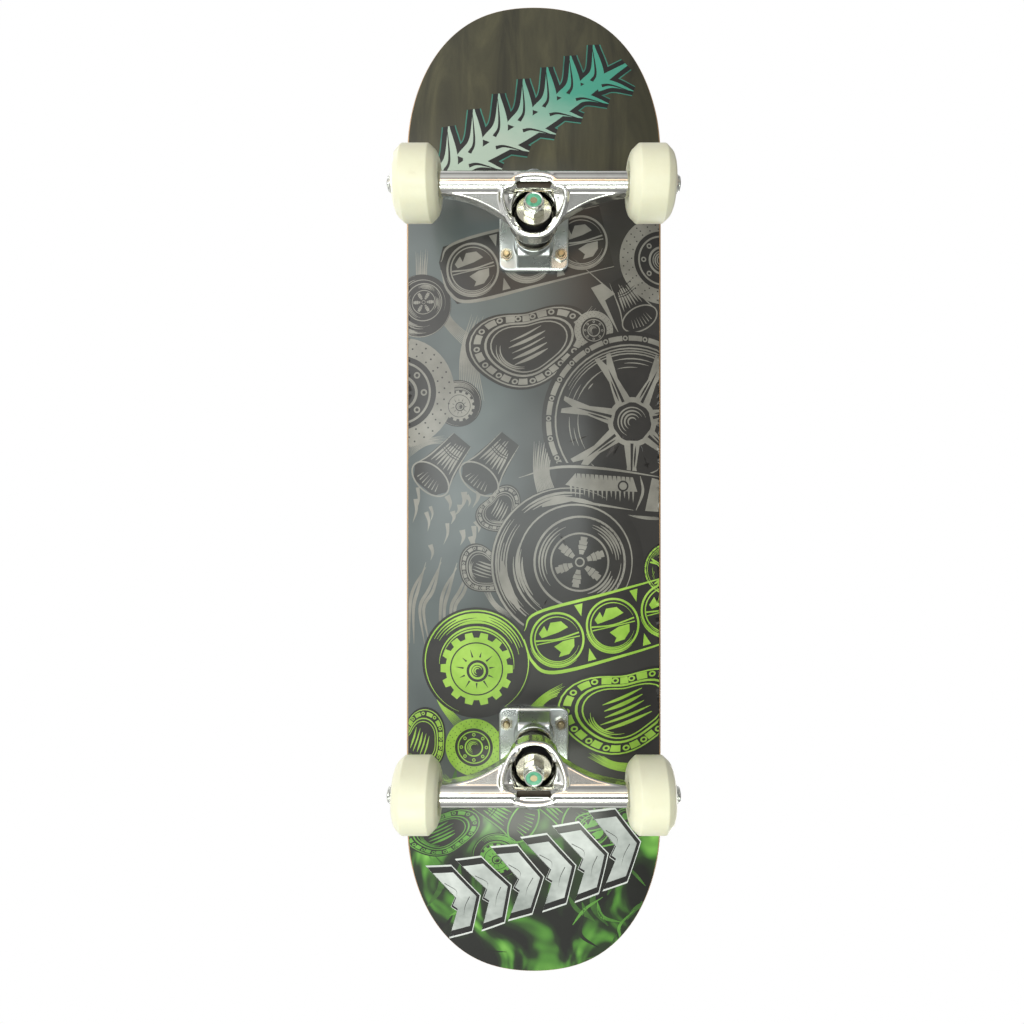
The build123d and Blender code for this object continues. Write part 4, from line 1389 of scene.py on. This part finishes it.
def build_floor():
    """A pale floor that the board stands on. The camera sees through it from below."""
    corners = [(x * FLOOR_HALF, y * FLOOR_HALF, 0) for x, y in ((-1, -1), (1, -1), (1, 1), (-1, 1))]
    mesh = bpy.data.meshes.new("floor")
    mesh.from_pydata(corners, [], [(0, 1, 2, 3)])
    look = Look("floor", Base_Color=(0.9, 0.9, 0.89), Roughness=0.7)
    seen = look.node("LightPath").outputs["Is Camera Ray"]
    from_below = look.node("NewGeometry").outputs["Backfacing"]
    solid = look.node("Math", {0: seen, 1: from_below}, operation="SUBTRACT", use_clamp=True).outputs[0]
    clear = look.node("BsdfTransparent").outputs[0]
    mix = look.node("MixShader", {"Fac": solid, 1: clear, 2: look.shader.outputs[0]})
    look.feed(look.nodes["Material Output"].inputs["Surface"], mix.outputs[0])
    mesh.materials.append(look.material)
    place_object("floor", mesh)


def build_world():
    """White to the camera. To everything else, a room with bands of light, brighter towards its window."""
    world = bpy.data.worlds.new("studio")
    bpy.context.scene.world = world
    world.use_nodes = True
    sky = Nodes(world.node_tree)
    backdrop = sky.nodes["Background"]
    sky.feed(backdrop.inputs["Color"], (1.0, 1.0, 1.0))
    sky.feed(backdrop.inputs["Strength"], 1.0)
    towards = sky.node("SeparateXYZ", {0: sky.node("TexCoord").outputs["Generated"]}).outputs
    height = sky.spread(towards["Z"], -1.0, 1.0)
    bands = sky.ramp(height, *((place, (grey, grey, grey)) for place, grey in ROOM_BANDS))
    strength = sky.spread(towards["X"], -0.5, 0.5, *ROOM_SIDES)
    room = sky.node("Background", {"Color": bands, "Strength": strength})
    seen = sky.node("LightPath").outputs["Is Camera Ray"]
    mix = sky.node("MixShader", {"Fac": seen, 1: room.outputs[0], 2: backdrop.outputs[0]})
    sky.feed(sky.nodes["World Output"].inputs["Surface"], mix.outputs[0])
    bpy.context.scene.view_settings.view_transform = "Standard"


def soft_light(name, place, aim, size, watts, colour=(1, 1, 1)):
    data = bpy.data.lights.new(name, "AREA")
    data.shape = "RECTANGLE"
    data.size, data.size_y = size
    data.energy = watts
    data.color = colour
    light = bpy.data.objects.new(name, data)
    light.location = place
    light.rotation_euler = (Vector(aim) - Vector(place)).to_track_quat("-Z", "Y").to_euler()
    bpy.context.scene.collection.objects.link(light)


def build_lights():
    soft_light("window_below", (0.62, 0.45, -0.75), (0, 0, 0.08), (0.6, 1.0), 2.6, (1.0, 1.0, 0.98))
    soft_light("fill_below", (-0.8, 0.1, -0.6), (0, 0, 0.08), (0.6, 1.2), 0.6, (1.0, 0.98, 0.95))
    soft_light("window_haze", (0.24, 0.0, -0.95), (0.08, 0.0, 0.08), (0.34, 0.9), 4.2, (0.92, 1.0, 0.99))
    soft_light("tail_haze", (0.0, -0.84, -0.95), (0, -0.25, 0.08), (0.6, 0.4), 5.5, (0.94, 1.0, 0.88))
    soft_light("warm_card", (0.0, 0.46, -0.9), (0, -0.2, 0.05), (0.5, 0.2), 0.5, (1.0, 0.7, 0.45))
    soft_light("key_above", (-0.9, -0.9, 1.5), (0, 0, 0), (0.9, 0.9), 11.0)
    soft_light("rim_above", (1.1, 0.8, 0.9), (0, 0, 0.05), (0.7, 0.7), 5.0, (0.95, 0.98, 1.0))


# ---------------------------------------------------------------- build
build_camera()
build_floor()
build_world()
build_lights()
build_deck()
build_print_art()
build_trucks()
build_wheels()
